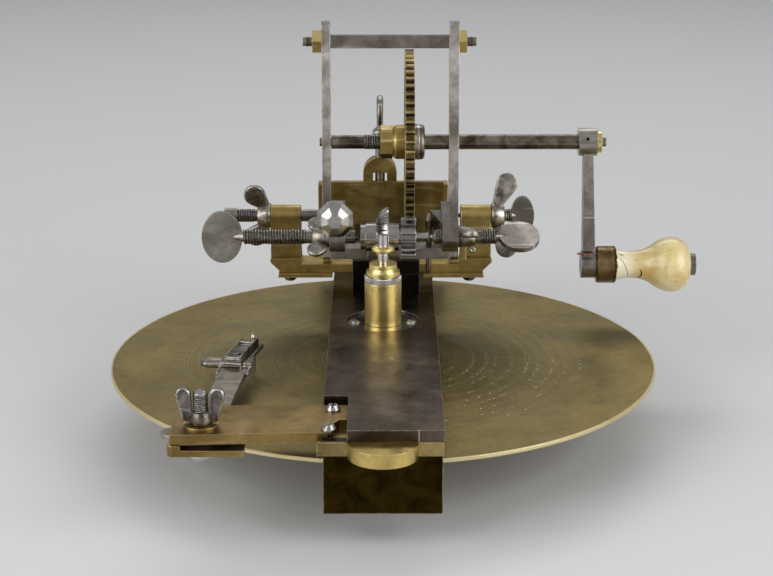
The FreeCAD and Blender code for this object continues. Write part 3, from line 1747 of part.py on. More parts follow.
def tooth_gap(root, pitch, outer, floor_share, top_share):
    """The space between two teeth, centred on the first axis of the outline's plane."""
    floor = pitch_gap * floor_share
    top = pitch_gap * top_share
    beyond = outer + 0.5
    return path(
        (root, -floor),
        (pitch, -pitch_gap),
        (beyond, -top),
        (beyond, top),
        (pitch, pitch_gap),
        (root, floor),
    )


def make_cutter():
    bore = s.cutter_bore + s.run_gap
    left, right = -s.cutter_left, s.cutter_right
    piece = Piece("cutter_arbor")
    cone = s.point_seat
    outline = path(
        (-s.arbor_left, cone),
        (-s.arbor_left, s.arbor_flange_radius),
        (-s.arbor_left + s.arbor_flange, s.arbor_flange_radius),
        (-s.arbor_left + s.arbor_flange, s.arbor_drum_radius),
        (left, s.arbor_drum_radius),
        (left, s.cutter_bore),
        (s.pinion_right, s.cutter_bore),
        (s.pinion_right, s.arbor_tail_radius),
        (s.arbor_right, s.arbor_tail_radius),
        (s.arbor_right, cone * 0.9),
        (s.arbor_right - 2 * cone, 0),
        (2 * cone - s.arbor_left, 0),
    )
    piece.turn_x(outline)
    at = (0, s.cutter_y, s.cutter_z)
    keep("cutter_arbor", piece.done(at))

    piece = Piece("cutter")
    radius = s.cutter_radius
    root = s.cutter_root
    run = right - left
    rise = radius - root
    swell = (run * run + rise * rise) / (2 * rise) * 1.35
    outline = path(
        (left, bore),
        (left, root),
        (right - 0.8, radius, swell, -1),
        (right, radius),
        (right, bore),
    )
    piece.turn_x(outline)
    half = s.gash_width / 2
    skew = s.gash_skew
    gash = path(
        (root - 0.4, -half),
        (radius + 1, skew - half),
        (radius + 1, skew + half),
        (root - 0.4, half),
    )
    first = piece.cut_x([gash], left, right - s.gash_floor)
    piece.repeat([first], "X_Axis", s.cutter_teeth)
    keep("cutter", piece.done(at, (1, 0, 0), 7.5))

    piece = Piece("cutter_collar")
    end = s.collar_right
    outline = path(
        (right, bore),
        (right, s.collar_radius),
        (end, s.collar_radius),
        (end, s.collar_radius * 0.6),
        (s.pinion_left, s.collar_radius * 0.6),
        (s.pinion_left, bore),
    )
    piece.turn_x(outline)
    keep("cutter_collar", piece.done(at))

    piece = Piece("pinion")
    piece.pad_x([circle(0, 0, pinion_outer), circle(0, 0, bore)], s.pinion_left, s.pinion_right)
    gap = tooth_gap(pinion_root, pinion_pitch, pinion_outer, 0.6, 1.75)
    first = piece.cut_x([gap], s.pinion_left, s.pinion_right)
    piece.repeat([first], "X_Axis", s.pinion_leaves)
    keep("pinion", piece.done(at, (1, 0, 0), mesh_angle))


def make_gear():
    piece = Piece("drive_gear")
    left = s.gear_left
    right = left + s.gear_thick
    bore = s.shaft_left_radius + s.run_gap
    piece.pad_x([circle(0, 0, gear_outer), circle(0, 0, bore)], left, right)
    gap = tooth_gap(gear_root, gear_pitch, gear_outer, 0.72, 1.5)
    first = piece.cut_x([gap], left, right)
    piece.repeat([first], "X_Axis", s.gear_teeth)
    rim = gear_root - s.gear_rim
    hub = s.gear_hub
    arm = s.gear_arm_half
    step = 360 / SIZES["gear_arms"]
    low_turn = as_size(step / 2)
    window = path(
        (hub, arm, hub * 1.02, -1),
        (rim - 1, arm * 0.8),
        (rim * cos_of(low_turn), rim * sin_of(low_turn), rim, 1),
        (
            (rim - 1) * cos_of(2 * low_turn) + arm * 0.8 * sin_of(2 * low_turn),
            (rim - 1) * sin_of(2 * low_turn) - arm * 0.8 * cos_of(2 * low_turn),
            rim,
            1,
        ),
        (
            hub * cos_of(2 * low_turn) + arm * sin_of(2 * low_turn),
            hub * sin_of(2 * low_turn) - arm * cos_of(2 * low_turn),
        ),
        (hub * cos_of(low_turn), hub * sin_of(low_turn), hub * 1.02, -1),
    )
    first = piece.cut_x([window], left, right)
    piece.repeat([first], "X_Axis", s.gear_arms)
    at = (0, s.crank_y, s.crank_z)
    half_step = 180 / s.gear_teeth
    keep("drive_gear", piece.done(at, (1, 0, 0), mesh_angle + half_step))

    piece = Piece("gear_nut")
    thread = s.shaft_left_radius + s.run_gap
    nut = [polygon(8, s.gear_nut_across), circle(0, 0, thread)]
    piece.pad_x(nut, -s.gear_nut_left, s.gear_washer_left)
    gear_nut = piece.done(at, (1, 0, 0), 10)

    piece = Piece("gear_washer")
    outline = path(
        (s.gear_washer_left, thread),
        (s.gear_washer_left, s.gear_washer_radius - 1.5),
        (s.gear_washer_left + 2, s.gear_washer_radius),
        (left, s.gear_washer_radius),
        (left, thread),
    )
    piece.turn_x(outline)
    grouped("gear_fasteners", [gear_nut, piece.done(at)])


def make_crank():
    at = (0, s.crank_y, s.crank_z)
    gear_right = s.gear_left + s.gear_thick
    rounding = s.shaft_collar_round
    piece = Piece("crank_shaft")
    outline = path(
        (-s.shaft_pivot_end, 0),
        (-s.shaft_pivot_end, s.shaft_pivot_radius),
        (-s.shaft_left, s.shaft_pivot_radius),
        (-s.shaft_left, s.shaft_left_radius),
        (gear_right, s.shaft_left_radius),
        (gear_right, s.shaft_collar_radius),
        (s.shaft_collar_end - rounding, s.shaft_collar_radius),
        (s.shaft_collar_end, s.shaft_collar_radius - rounding, rounding, -1),
        (s.shaft_collar_end, s.shaft_radius),
        (s.crank_boss_left, s.shaft_radius),
        (s.crank_boss_left, s.crank_seat_radius),
        (s.crank_boss_right, s.crank_seat_radius),
        (s.crank_boss_right, s.crank_thread_radius),
        (s.crank_thread_end, s.crank_thread_radius),
        (s.crank_thread_end, 0),
    )
    piece.turn_x(outline)
    keep("crank_shaft", piece.done(at))

    piece = Piece("crank_arm")
    seat = s.crank_seat_radius + s.run_gap
    low = -s.crank_throw
    half_depth = s.crank_depth / 2
    blade = path(
        (s.crank_low_left, low + 3),
        (s.crank_low_right, low + 3),
        (s.crank_top_right, -s.crank_boss_radius + 2),
        (s.crank_top_left, -s.crank_boss_radius + 2),
    )
    piece.pad_y([blade], -half_depth, half_depth)
    piece.pad_x([circle(0, 0, s.crank_boss_radius)], s.crank_boss_left, s.crank_boss_right)
    piece.pad_x([circle(0, low, s.crank_eye_radius)], s.crank_eye_left, s.crank_eye_right)
    piece.cut_x([circle(0, 0, seat)], s.crank_boss_left, s.crank_boss_right)
    piece.pad_x([circle(0, low, s.pin_radius)], s.crank_eye_right, s.grip_end_at)
    rivet_end = s.grip_end_at + s.rivet_height
    piece.pad_x([circle(0, low, s.rivet_radius)], s.grip_end_at + s.shake, rivet_end)
    keep("crank_arm", piece.done(at))

    piece = Piece("crank_nut")
    nut_bore = s.crank_thread_radius + s.run_gap
    ring = [circle(0, 0, s.crank_nut_radius), circle(0, 0, nut_bore)]
    piece.pad_x(ring, s.crank_boss_right, s.crank_boss_right + s.crank_nut_thick)
    keep("crank_nut", piece.done(at))


def tangent_radius(run, rise):
    """The radius of an arc that leaves level and climbs by rise over run."""
    return (run * run + rise * rise) / (2 * rise)


def make_handle():
    at = (0, s.crank_y, s.crank_z - s.crank_throw)
    bore = s.pin_radius + s.run_gap
    piece = Piece("handle_ferrule")
    low, high = s.ferrule_left, s.ferrule_right
    outline = path(
        (low, bore),
        (low, s.ferrule_radius - 0.8),
        (low + 0.8, s.ferrule_radius),
        (high, s.ferrule_radius),
        (high, bore),
    )
    piece.turn_x(outline)
    keep("handle_ferrule", piece.done(at))

    piece = Piece("handle_grip")
    neck_at, neck = s.grip_neck_at, s.grip_neck_radius
    crown_at, crown = s.grip_crown_at, s.grip_crown_radius
    end_at, end = s.grip_end_at, s.grip_end_radius
    climb = crown - neck
    both = tangent_radius(crown_at - neck_at, climb)
    hollow = both * 0.54 * 2
    swell = both * 2 - hollow
    share = hollow / (both * 2)
    flex_at = neck_at + (crown_at - neck_at) * share
    flex = neck + climb * share
    outline = path(
        (high, bore),
        (high, s.grip_start_radius),
        (neck_at, neck, tangent_radius(neck_at - high, s.grip_start_radius - neck), 1),
        (flex_at, flex, hollow / 2, 1),
        (crown_at, crown, swell / 2, -1),
        (end_at, end, tangent_radius(end_at - crown_at, crown - end), -1),
        (end_at, bore),
    )
    piece.turn_x(outline)
    keep("handle_grip", piece.done(at))


make_bed()
make_under_bar()
make_foot("front_foot", -s.bed_front, s.foot_thick - s.bed_front, True)
make_foot("rear_foot", s.bed_back - s.foot_thick, s.bed_back, False)
make_lower_frame()
make_bush()
make_frame_screws()
make_spindle()
make_index_bracket()
make_clamp_plate()
make_stud()
make_index_arm()
make_saddle()
make_yoke()
make_yoke_strip()
make_rear_plate()
make_arch()
make_uprights()
make_top_bar()
make_cheeks()
make_crossbar()
make_knob()
make_screws()
make_lock_nuts()
make_cutter()
make_gear()
make_crank()
make_handle()
doc.recompute()

# Every feature must have built, and every sub-part must be a valid solid.
for item in doc.Objects:
    if "Invalid" in item.State or "Error" in item.State:
        raise ValueError(f"{item.Name} failed: {item.State}")
for label, item in parts.items():
    if item.Shape.isNull() or not item.Shape.isValid() or not item.Shape.Solids:
        raise ValueError(f"{label} is not a valid solid")

os.makedirs("parts", exist_ok=True)
for label, item in parts.items():
    item.Shape.exportStep(f"parts/{label}.step")
print(len(parts), "sub-parts written")
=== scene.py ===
import bpy
import bmesh
import math
import random
from mathutils import Matrix, Vector
from mathutils.bvhtree import BVHTree


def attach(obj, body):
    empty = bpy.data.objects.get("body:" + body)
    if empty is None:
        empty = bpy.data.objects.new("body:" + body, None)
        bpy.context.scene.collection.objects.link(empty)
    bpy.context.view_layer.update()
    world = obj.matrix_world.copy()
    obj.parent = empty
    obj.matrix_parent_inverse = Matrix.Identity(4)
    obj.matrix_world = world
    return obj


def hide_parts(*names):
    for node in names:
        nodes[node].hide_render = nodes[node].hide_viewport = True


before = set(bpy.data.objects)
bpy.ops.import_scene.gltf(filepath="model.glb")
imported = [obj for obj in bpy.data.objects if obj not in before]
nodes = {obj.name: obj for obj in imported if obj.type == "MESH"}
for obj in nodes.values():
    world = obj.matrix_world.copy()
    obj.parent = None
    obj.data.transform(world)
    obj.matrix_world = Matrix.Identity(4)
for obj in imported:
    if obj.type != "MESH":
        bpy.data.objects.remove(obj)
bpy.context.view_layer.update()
random.seed(7)

MM = 0.001

# The camera as fitted to the photograph: pixels, metres and degrees
PHOTO_WIDTH = 773
FOCAL_PIXELS = 1896
SENSOR_WIDTH = 36
CAMERA_PLACE = (0.0004, -0.9963, 0.3900)
CAMERA_TILT = 90 - 17.294
CAMERA_TURN = -0.086

# Axes of the CAD in millimetres: (y, z) for one along X, (x, z) along Y and (x, y) along Z
CUTTER_AXIS = (28, 101.2)
PIVOT_AXIS = (65, 103.6)
CRANK_AXIS = (69.6, 146.1)
HANDLE_AXIS = (69.6, 72.6)
TOP_BAR_AXIS = (75.5, 203.2)
KNOB_AXIS = (-26.6, 114.4)
INDEX_STUD = (-87, -150)

# The dividing plate, in millimetres
PLATE_TOP = 39.2
FIRST_RING = 30.9
RING_STEP = 7.4
RING_NUMBERS = ("48", "50", "54", "56", "60", "64", "72", "78", "84", "96", "108")


# Camera, lights, world and floor
def make_camera():
    data = bpy.data.cameras.new("camera")
    data.sensor_width = SENSOR_WIDTH
    data.lens = FOCAL_PIXELS * SENSOR_WIDTH / PHOTO_WIDTH
    data.clip_start = 0.05
    data.clip_end = 20
    camera = bpy.data.objects.new("camera", data)
    bpy.context.scene.collection.objects.link(camera)
    camera.location = CAMERA_PLACE
    camera.rotation_euler = (math.radians(CAMERA_TILT), 0, math.radians(CAMERA_TURN))
    bpy.context.scene.camera = camera


def area_light(name, place, size, power):
    """A rectangular light aimed at the middle of the engine."""
    middle = Vector((0, 0, 0.1))
    data = bpy.data.lights.new(name, "AREA")
    data.shape = "RECTANGLE"
    data.size, data.size_y = size
    data.energy = power
    light = bpy.data.objects.new(name, data)
    bpy.context.scene.collection.objects.link(light)
    light.location = place
    light.rotation_euler = (middle - Vector(place)).to_track_quat("-Z", "Y").to_euler()


def make_world():
    """A studio sky that grows lighter with height."""
    lowest, highest = -0.2, 0.9
    dim, bright = 0.16, 0.42
    world = bpy.data.worlds.new("studio")
    bpy.context.scene.world = world
    world.use_nodes = True
    tree = world.node_tree
    tree.nodes.clear()
    out = tree.nodes.new("ShaderNodeOutputWorld")
    background = tree.nodes.new("ShaderNodeBackground")
    tree.links.new(background.outputs[0], out.inputs[0])
    coordinates = tree.nodes.new("ShaderNodeTexCoord")
    parts = tree.nodes.new("ShaderNodeSeparateXYZ")
    tree.links.new(coordinates.outputs["Generated"], parts.inputs[0])
    ramp = tree.nodes.new("ShaderNodeMapRange")
    ramp.inputs["From Min"].default_value = lowest
    ramp.inputs["From Max"].default_value = highest
    ramp.inputs["To Min"].default_value = dim
    ramp.inputs["To Max"].default_value = bright
    tree.links.new(parts.outputs["Z"], ramp.inputs["Value"])
    tree.links.new(ramp.outputs[0], background.inputs["Strength"])
    background.inputs["Color"].default_value = (0.98, 0.99, 1, 1)


def make_studio():
    area_light("key_light", (-1.15, -0.85, 0.68), (1.25, 1.25), 15)
    area_light("fill_light", (1.25, -0.80, 0.66), (1.15, 1.25), 15)
    area_light("back_light", (0.1, 1.2, 1.3), (1.6, 0.5), 6)
    make_world()
    bpy.context.scene.view_settings.view_transform = "Standard"
    bpy.ops.mesh.primitive_plane_add(size=6)
    floor = bpy.context.object
    floor.name = "floor"
    material = bpy.data.materials.new("floor_paper")
    material.use_nodes = True
    shader = material.node_tree.nodes["Principled BSDF"]
    shader.inputs["Base Color"].default_value = (0.72, 0.72, 0.725, 1)
    shader.inputs["Roughness"].default_value = 0.55
    floor.data.materials.append(material)


# Materials
class Graph:
    """Wires up the shader nodes of one new material."""

    def __init__(self, name):
        self.material = bpy.data.materials.new(name)
        self.material.use_nodes = True
        self.tree = self.material.node_tree
        self.shader = self.tree.nodes["Principled BSDF"]
        self.coordinates = self.tree.nodes.new("ShaderNodeTexCoord").outputs["Object"]

    def add(self, kind, **settings):
        node = self.tree.nodes.new(kind)
        for name, value in settings.items():
            setattr(node, name, value)
        return node

    def feed(self, socket, value):
        """Links a socket to another node's output, or sets it to a plain value."""
        if isinstance(value, bpy.types.NodeSocket):
            self.tree.links.new(value, socket)
        else:
            socket.default_value = value

    def math(self, operation, first, second=0.0, clamp=False):
        node = self.add("ShaderNodeMath", operation=operation, use_clamp=clamp)
        self.feed(node.inputs[0], first)
        self.feed(node.inputs[1], second)
        return node.outputs[0]

    def times(self, product, *others):
        for other in others:
            product = self.math("MULTIPLY", product, other)
        return product

    def less(self, first, second):
        return self.math("SUBTRACT", first, second)

    def length(self, first, second):
        return self.math("SQRT", self.math("ADD", self.times(first, first), self.times(second, second)))

    def split(self, vector):
        node = self.add("ShaderNodeSeparateXYZ")
        self.feed(node.inputs[0], vector)
        return node.outputs

    def join(self, x, y):
        node = self.add("ShaderNodeCombineXYZ")
        self.feed(node.inputs[0], x)
        self.feed(node.inputs[1], y)
        return node.outputs[0]

    def stretch(self, scale, turn=(0, 0, 0)):
        node = self.add("ShaderNodeMapping")
        self.feed(node.inputs["Vector"], self.coordinates)
        node.inputs["Scale"].default_value = scale
        node.inputs["Rotation"].default_value = turn
        return node.outputs[0]

    def noise(self, scale, detail=3.0, rough=0.55, source=None, warp=0.0):
        node = self.add("ShaderNodeTexNoise")
        self.feed(node.inputs["Vector"], source or self.coordinates)
        node.inputs["Scale"].default_value = scale
        node.inputs["Detail"].default_value = detail
        node.inputs["Roughness"].default_value = rough
        node.inputs["Distortion"].default_value = warp
        return node.outputs["Fac"]

    def white_noise(self, dimensions, source):
        """One random value for each whole number, or for each pair of them."""
        node = self.add("ShaderNodeTexWhiteNoise", noise_dimensions=dimensions)
        self.feed(node.inputs["W" if dimensions == "1D" else "Vector"], source)
        return node.outputs["Value"]

    def range(self, value, low, high, new_low=0.0, new_high=1.0):
        """A smooth step from low to high, which may also run downwards."""
        node = self.add("ShaderNodeMapRange", interpolation_type="SMOOTHSTEP")
        self.feed(node.inputs["Value"], value)
        node.inputs["From Min"].default_value = low
        node.inputs["From Max"].default_value = high
        node.inputs["To Min"].default_value = new_low
        node.inputs["To Max"].default_value = new_high
        return node.outputs[0]

    def mix(self, factor, first, second):
        node = self.add("ShaderNodeMix", data_type="RGBA")
        self.feed(node.inputs["Factor"], factor)
        for socket, value in ((node.inputs[6], first), (node.inputs[7], second)):
            if isinstance(value, tuple):
                value = (*value[:3], 1)
            self.feed(socket, value)
        return node.outputs[2]

    def edges(self, radius):
        """A mask that is 1 along sharp edges, and the rounded normal there."""
        flat, sharp = 0.998, 0.88
        bevel = self.add("ShaderNodeBevel", samples=4)
        bevel.inputs["Radius"].default_value = radius
        geometry = self.add("ShaderNodeNewGeometry")
        dot = self.add("ShaderNodeVectorMath", operation="DOT_PRODUCT")
        self.feed(dot.inputs[0], bevel.outputs[0])
        self.feed(dot.inputs[1], geometry.outputs["Normal"])
        return self.range(dot.outputs["Value"], flat, sharp), bevel.outputs[0]

    def bump(self, height, strength, distance, normal=None):
        node = self.add("ShaderNodeBump")
        node.inputs["Strength"].default_value = strength
        node.inputs["Distance"].default_value = distance
        self.feed(node.inputs["Height"], height)
        if normal is not None:
            self.feed(node.inputs["Normal"], normal)
        return node.outputs[0]

    def finish(self, color, rough, normal, metallic=1.0):
        self.feed(self.shader.inputs["Base Color"], color)
        self.feed(self.shader.inputs["Roughness"], rough)
        self.feed(self.shader.inputs["Normal"], normal)
        self.shader.inputs["Metallic"].default_value = metallic
        return self.material


def worn_metal(name, light, dark, edge, rough=(0.28, 0.5), brush=(30, 900, 900),
               patch=22.0, pits=0.35, edge_wear_and_highlight=0.5, scratch=0.5, bevel=0.0005):
    """Old metal: cloudy tarnish, filed or turned grain, fine pits, scratches, and edges bright from wear and
    painted highlight.
    """
    g = Graph(name)
    clouds = g.noise(patch, 5, 0.6, warp=0.6)
    fine = g.noise(260, 4, 0.65)
    grain = g.noise(1.0, 3, 0.6, g.stretch(brush))
    specks = g.noise(1400, 2, 0.5)
    color = g.mix(g.range(clouds, 0.32, 0.68), dark, light)
    color = g.mix(g.range(fine, 0.42, 0.75, 0, 0.45), color, dark)
    pit_mask = g.range(specks, 0.66, 0.78, 0, pits)
    pit_color = tuple(part * 0.25 for part in dark)
    color = g.mix(pit_mask, color, pit_color)
    scratch_scale = (brush[0] * 0.6, brush[1] * 0.35, brush[2] * 0.35)
    scratches = g.noise(1.0, 2, 0.5, g.stretch(scratch_scale, (0.2, 0.1, 0.5)))
    color = g.mix(g.range(scratches, 0.63, 0.72, 0, scratch), color, edge)
    # Edges mix towards the edge colour: partly wear, partly painted highlight
    edge_mask, rounded = g.edges(bevel)
    ragged = g.times(edge_mask, g.range(g.noise(420, 3), 0.3, 0.62, 0.25, 1.0))
    color = g.mix(g.times(ragged, edge_wear_and_highlight), color, edge)
    shine = g.range(g.noise(90, 4, 0.6), 0.3, 0.7, rough[0], rough[1])
    shine = g.math("ADD", shine, g.times(pit_mask, 0.25), True)
    relief = g.math("ADD", g.times(grain, 0.5), g.times(fine, 0.5))
    relief = g.less(relief, g.times(pit_mask, 1.2))
    return g.finish(color, shine, g.bump(relief, 0.22, 0.0002, rounded))


def plate_material():
    """The dividing plate: olive brass turned in circles, with rings of tiny division holes."""
    hole_edge, hole_floor = 0.00052, 0.00032
    rim_radius, rim_width = 0.00055, 0.00022
    groove_edge, groove_floor = 0.00030, 0.00008
    line_place, line_edge, line_floor = 0.0011, 0.00022, 0.00005
    glint_edge, glint_floor, glint_level = 0.00065, 0.0002, 0.74
    plate_side = 0.1492
    first, step = FIRST_RING * MM, RING_STEP * MM
    last = (FIRST_RING + RING_STEP * len(RING_NUMBERS)) * MM

    # Which ring a point is in, and how far it lies from the nearest hole, across the ring and along it
    g = Graph("plate_brass")
    x, y, _ = g.split(g.coordinates)
    radius = g.length(x, y)
    angle = g.math("DIVIDE", g.math("ARCTAN2", y, x), 2 * math.pi)
    ring = g.math("DIVIDE", g.less(radius, first), step)
    ring_number = g.math("FLOOR", ring)
    chance = g.white_noise("1D", ring_number)
    jitter = g.times(g.less(chance, 0.5), 0.4)
    across = g.times(g.less(g.less(g.less(ring, ring_number), 0.5), jitter), step)
    hole_count = g.math("ROUND", g.times(g.math("ADD", chance, 0.75), 150))
    turn = g.times(angle, hole_count)
    hole_number = g.math("FLOOR", turn)
    part = g.less(g.less(turn, hole_number), 0.5)
    along = g.math("DIVIDE", g.times(part, radius, 2 * math.pi), hole_count)
    distance = g.length(across, along)
    zone = g.times(g.math("GREATER_THAN", radius, first), g.math("LESS_THAN", radius, last))

    # The marks: holes darkened with painted shade and ringed with painted highlight, painted shade along each
    # ring's groove, scribed lines beside them, and glints at the front
    shaded_hole = g.times(g.range(distance, hole_edge, hole_floor), zone)
    rim_highlight = g.times(g.range(g.math("ABSOLUTE", g.less(distance, rim_radius)), rim_width, 0.0), zone)
    # Random patches that wear the scribed lines away and vary the painted shade in the grooves
    worn = g.range(g.noise(26, 3, 0.6), 0.38, 0.62, 0.25, 1.0)
    offset = g.math("ABSOLUTE", across)
    shaded_groove = g.times(g.range(offset, groove_edge, groove_floor), zone, worn)
    side_line = g.math("ABSOLUTE", g.less(offset, line_place))
    scribed = g.times(g.range(side_line, line_edge, line_floor), zone, worn)
    front = g.times(g.range(y, 0.02, -0.02), g.range(x, -0.02, 0.03))
    luck = g.white_noise("2D", g.join(ring_number, hole_number))
    glint = g.times(g.math("GREATER_THAN", luck, glint_level), front)
    glint = g.times(g.range(distance, glint_edge, glint_floor), zone, glint)

    turned_grain = g.noise(1.0, 4, 0.7, g.join(g.times(radius, 2600), g.times(angle, 9)))
    clouds = g.noise(9, 6, 0.66, warp=0.3)
    fine = g.noise(300, 5, 0.75)
    color = g.mix(g.range(clouds, 0.28, 0.74), (0.225, 0.172, 0.060), (0.335, 0.262, 0.098))
    color = g.mix(g.range(fine, 0.42, 0.75, 0, 0.5), color, (0.12, 0.092, 0.036))
    color = g.mix(g.range(turned_grain, 0.5, 0.72, 0, 0.28), color, (0.42, 0.36, 0.21))
    for mask, strength, tint in (
        (shaded_groove, 0.55, (0.075, 0.058, 0.028)),
        (scribed, 0.4, (0.55, 0.47, 0.28)),
        (rim_highlight, 0.65, (0.62, 0.55, 0.36)),
        (shaded_hole, 0.9, (0.03, 0.025, 0.015)),
        (glint, 0.9, (0.95, 0.90, 0.72)),
    ):
        color = g.mix(g.times(mask, strength), color, tint)
    # Edges brighten partly with wear and partly as painted highlight, and the turned outer side is mixed
    # towards pale brass
    edge_mask, rounded = g.edges(0.0007)
    side = g.math("GREATER_THAN", radius, plate_side)
    bright = g.math("MAXIMUM", edge_mask, g.times(side, 0.8))
    color = g.mix(g.times(bright, 0.85), color, (0.90, 0.78, 0.46))
    height = g.less(g.times(turned_grain, 0.35), g.math("ADD", shaded_hole, g.times(shaded_groove, 0.4)))
    shine = g.range(g.noise(45, 5, 0.6), 0.3, 0.7, 0.34, 0.52)
    return g.finish(color, shine, g.bump(height, 0.35, 0.00025, rounded))


def gear_material():
    """The drive gear: brown brass, bright at its edges from wear and painted highlight, with painted shade
    down between the teeth.
    """
    tooth_root = (0.0480, 0.0490)
    tooth_tip = (0.0525, 0.0512)
    g = Graph("gear_brass")
    place = g.add("ShaderNodeVectorMath", operation="SUBTRACT")
    g.feed(place.inputs[0], g.coordinates)
    place.inputs[1].default_value = (0, CRANK_AXIS[0] * MM, CRANK_AXIS[1] * MM)
    _, y, z = g.split(place.outputs[0])
    radius = g.length(y, z)
    tooth_shade = g.times(g.range(radius, *tooth_root), g.range(radius, *tooth_tip))
    clouds = g.noise(50, 5, 0.6, warp=0.5)
    fine = g.noise(420, 4, 0.65)
    color = g.mix(g.range(clouds, 0.35, 0.65), (0.30, 0.215, 0.09), (0.60, 0.46, 0.20))
    color = g.mix(g.range(fine, 0.45, 0.72, 0, 0.6), color, (0.10, 0.07, 0.03))
    edge_mask, rounded = g.edges(0.0004)
    # Painted shade between the teeth, then edges brightened partly by wear and partly as painted highlight
    color = g.mix(g.times(tooth_shade, 0.75), color, (0.07, 0.05, 0.022))
    color = g.mix(g.times(edge_mask, 0.85), color, (0.85, 0.70, 0.40))
    shine = g.range(clouds, 0.3, 0.7, 0.28, 0.46)
    return g.finish(color, shine, g.bump(fine, 0.25, 0.0002, rounded))


def ivory_material():
    """Old ivory: cream and ochre patches, pale towards the neck, with stains, streaks and hair cracks."""
    neck_start, neck_end = 0.153, 0.141
    g = Graph("old_ivory")
    clouds = g.noise(38, 4, 0.6, warp=0.5)
    streaks = g.noise(1.0, 4, 0.6, g.stretch((45, 420, 420)))
    color = g.mix(g.range(clouds, 0.4, 0.66), (0.76, 0.645, 0.32), (0.60, 0.43, 0.14))
    color = g.mix(g.range(streaks, 0.5, 0.75, 0, 0.4), color, (0.86, 0.78, 0.55))
    neck = g.range(g.split(g.coordinates)["X"], neck_start, neck_end, 0, 0.85)
    color = g.mix(neck, color, (0.86, 0.79, 0.58))
    stain = g.times(g.range(g.noise(70, 5, 0.7), 0.58, 0.7), 0.55)
    color = g.mix(stain, color, (0.50, 0.31, 0.10))
    cracks = g.add("ShaderNodeTexVoronoi", feature="DISTANCE_TO_EDGE")
    g.feed(cracks.inputs["Vector"], g.stretch((22, 70, 70)))
    cracked = g.range(g.noise(30, 2), 0.55, 0.62)
    line = g.times(g.range(cracks.outputs["Distance"], 0.012, 0.0), cracked)
    color = g.mix(g.times(line, 0.8), color, (0.22, 0.13, 0.06))
    normal = g.bump(g.less(g.times(streaks, 0.2), line), 0.3, 0.0002)
    g.shader.inputs["Subsurface Weight"].default_value = 0.12
    g.shader.inputs["Subsurface Radius"].default_value = (0.004, 0.003, 0.0015)
    g.shader.inputs["Coat Weight"].default_value = 0.25
    return g.finish(color, 0.24, normal, 0.0)


def plain_metal(name, light, dark, rough):
    """A plain finish for small details, with fine cloudy tarnish."""
    g = Graph(name)
    fine = g.noise(600, 4, 0.6)
    color = g.mix(g.range(fine, 0.35, 0.65), dark, light)
    return g.finish(color, g.range(fine, 0.3, 0.7, rough, rough + 0.15), g.bump(fine, 0.2, 0.0001))


BRASS_EDGE = (0.86, 0.72, 0.38)
STEEL_EDGE = (0.86, 0.84, 0.80)

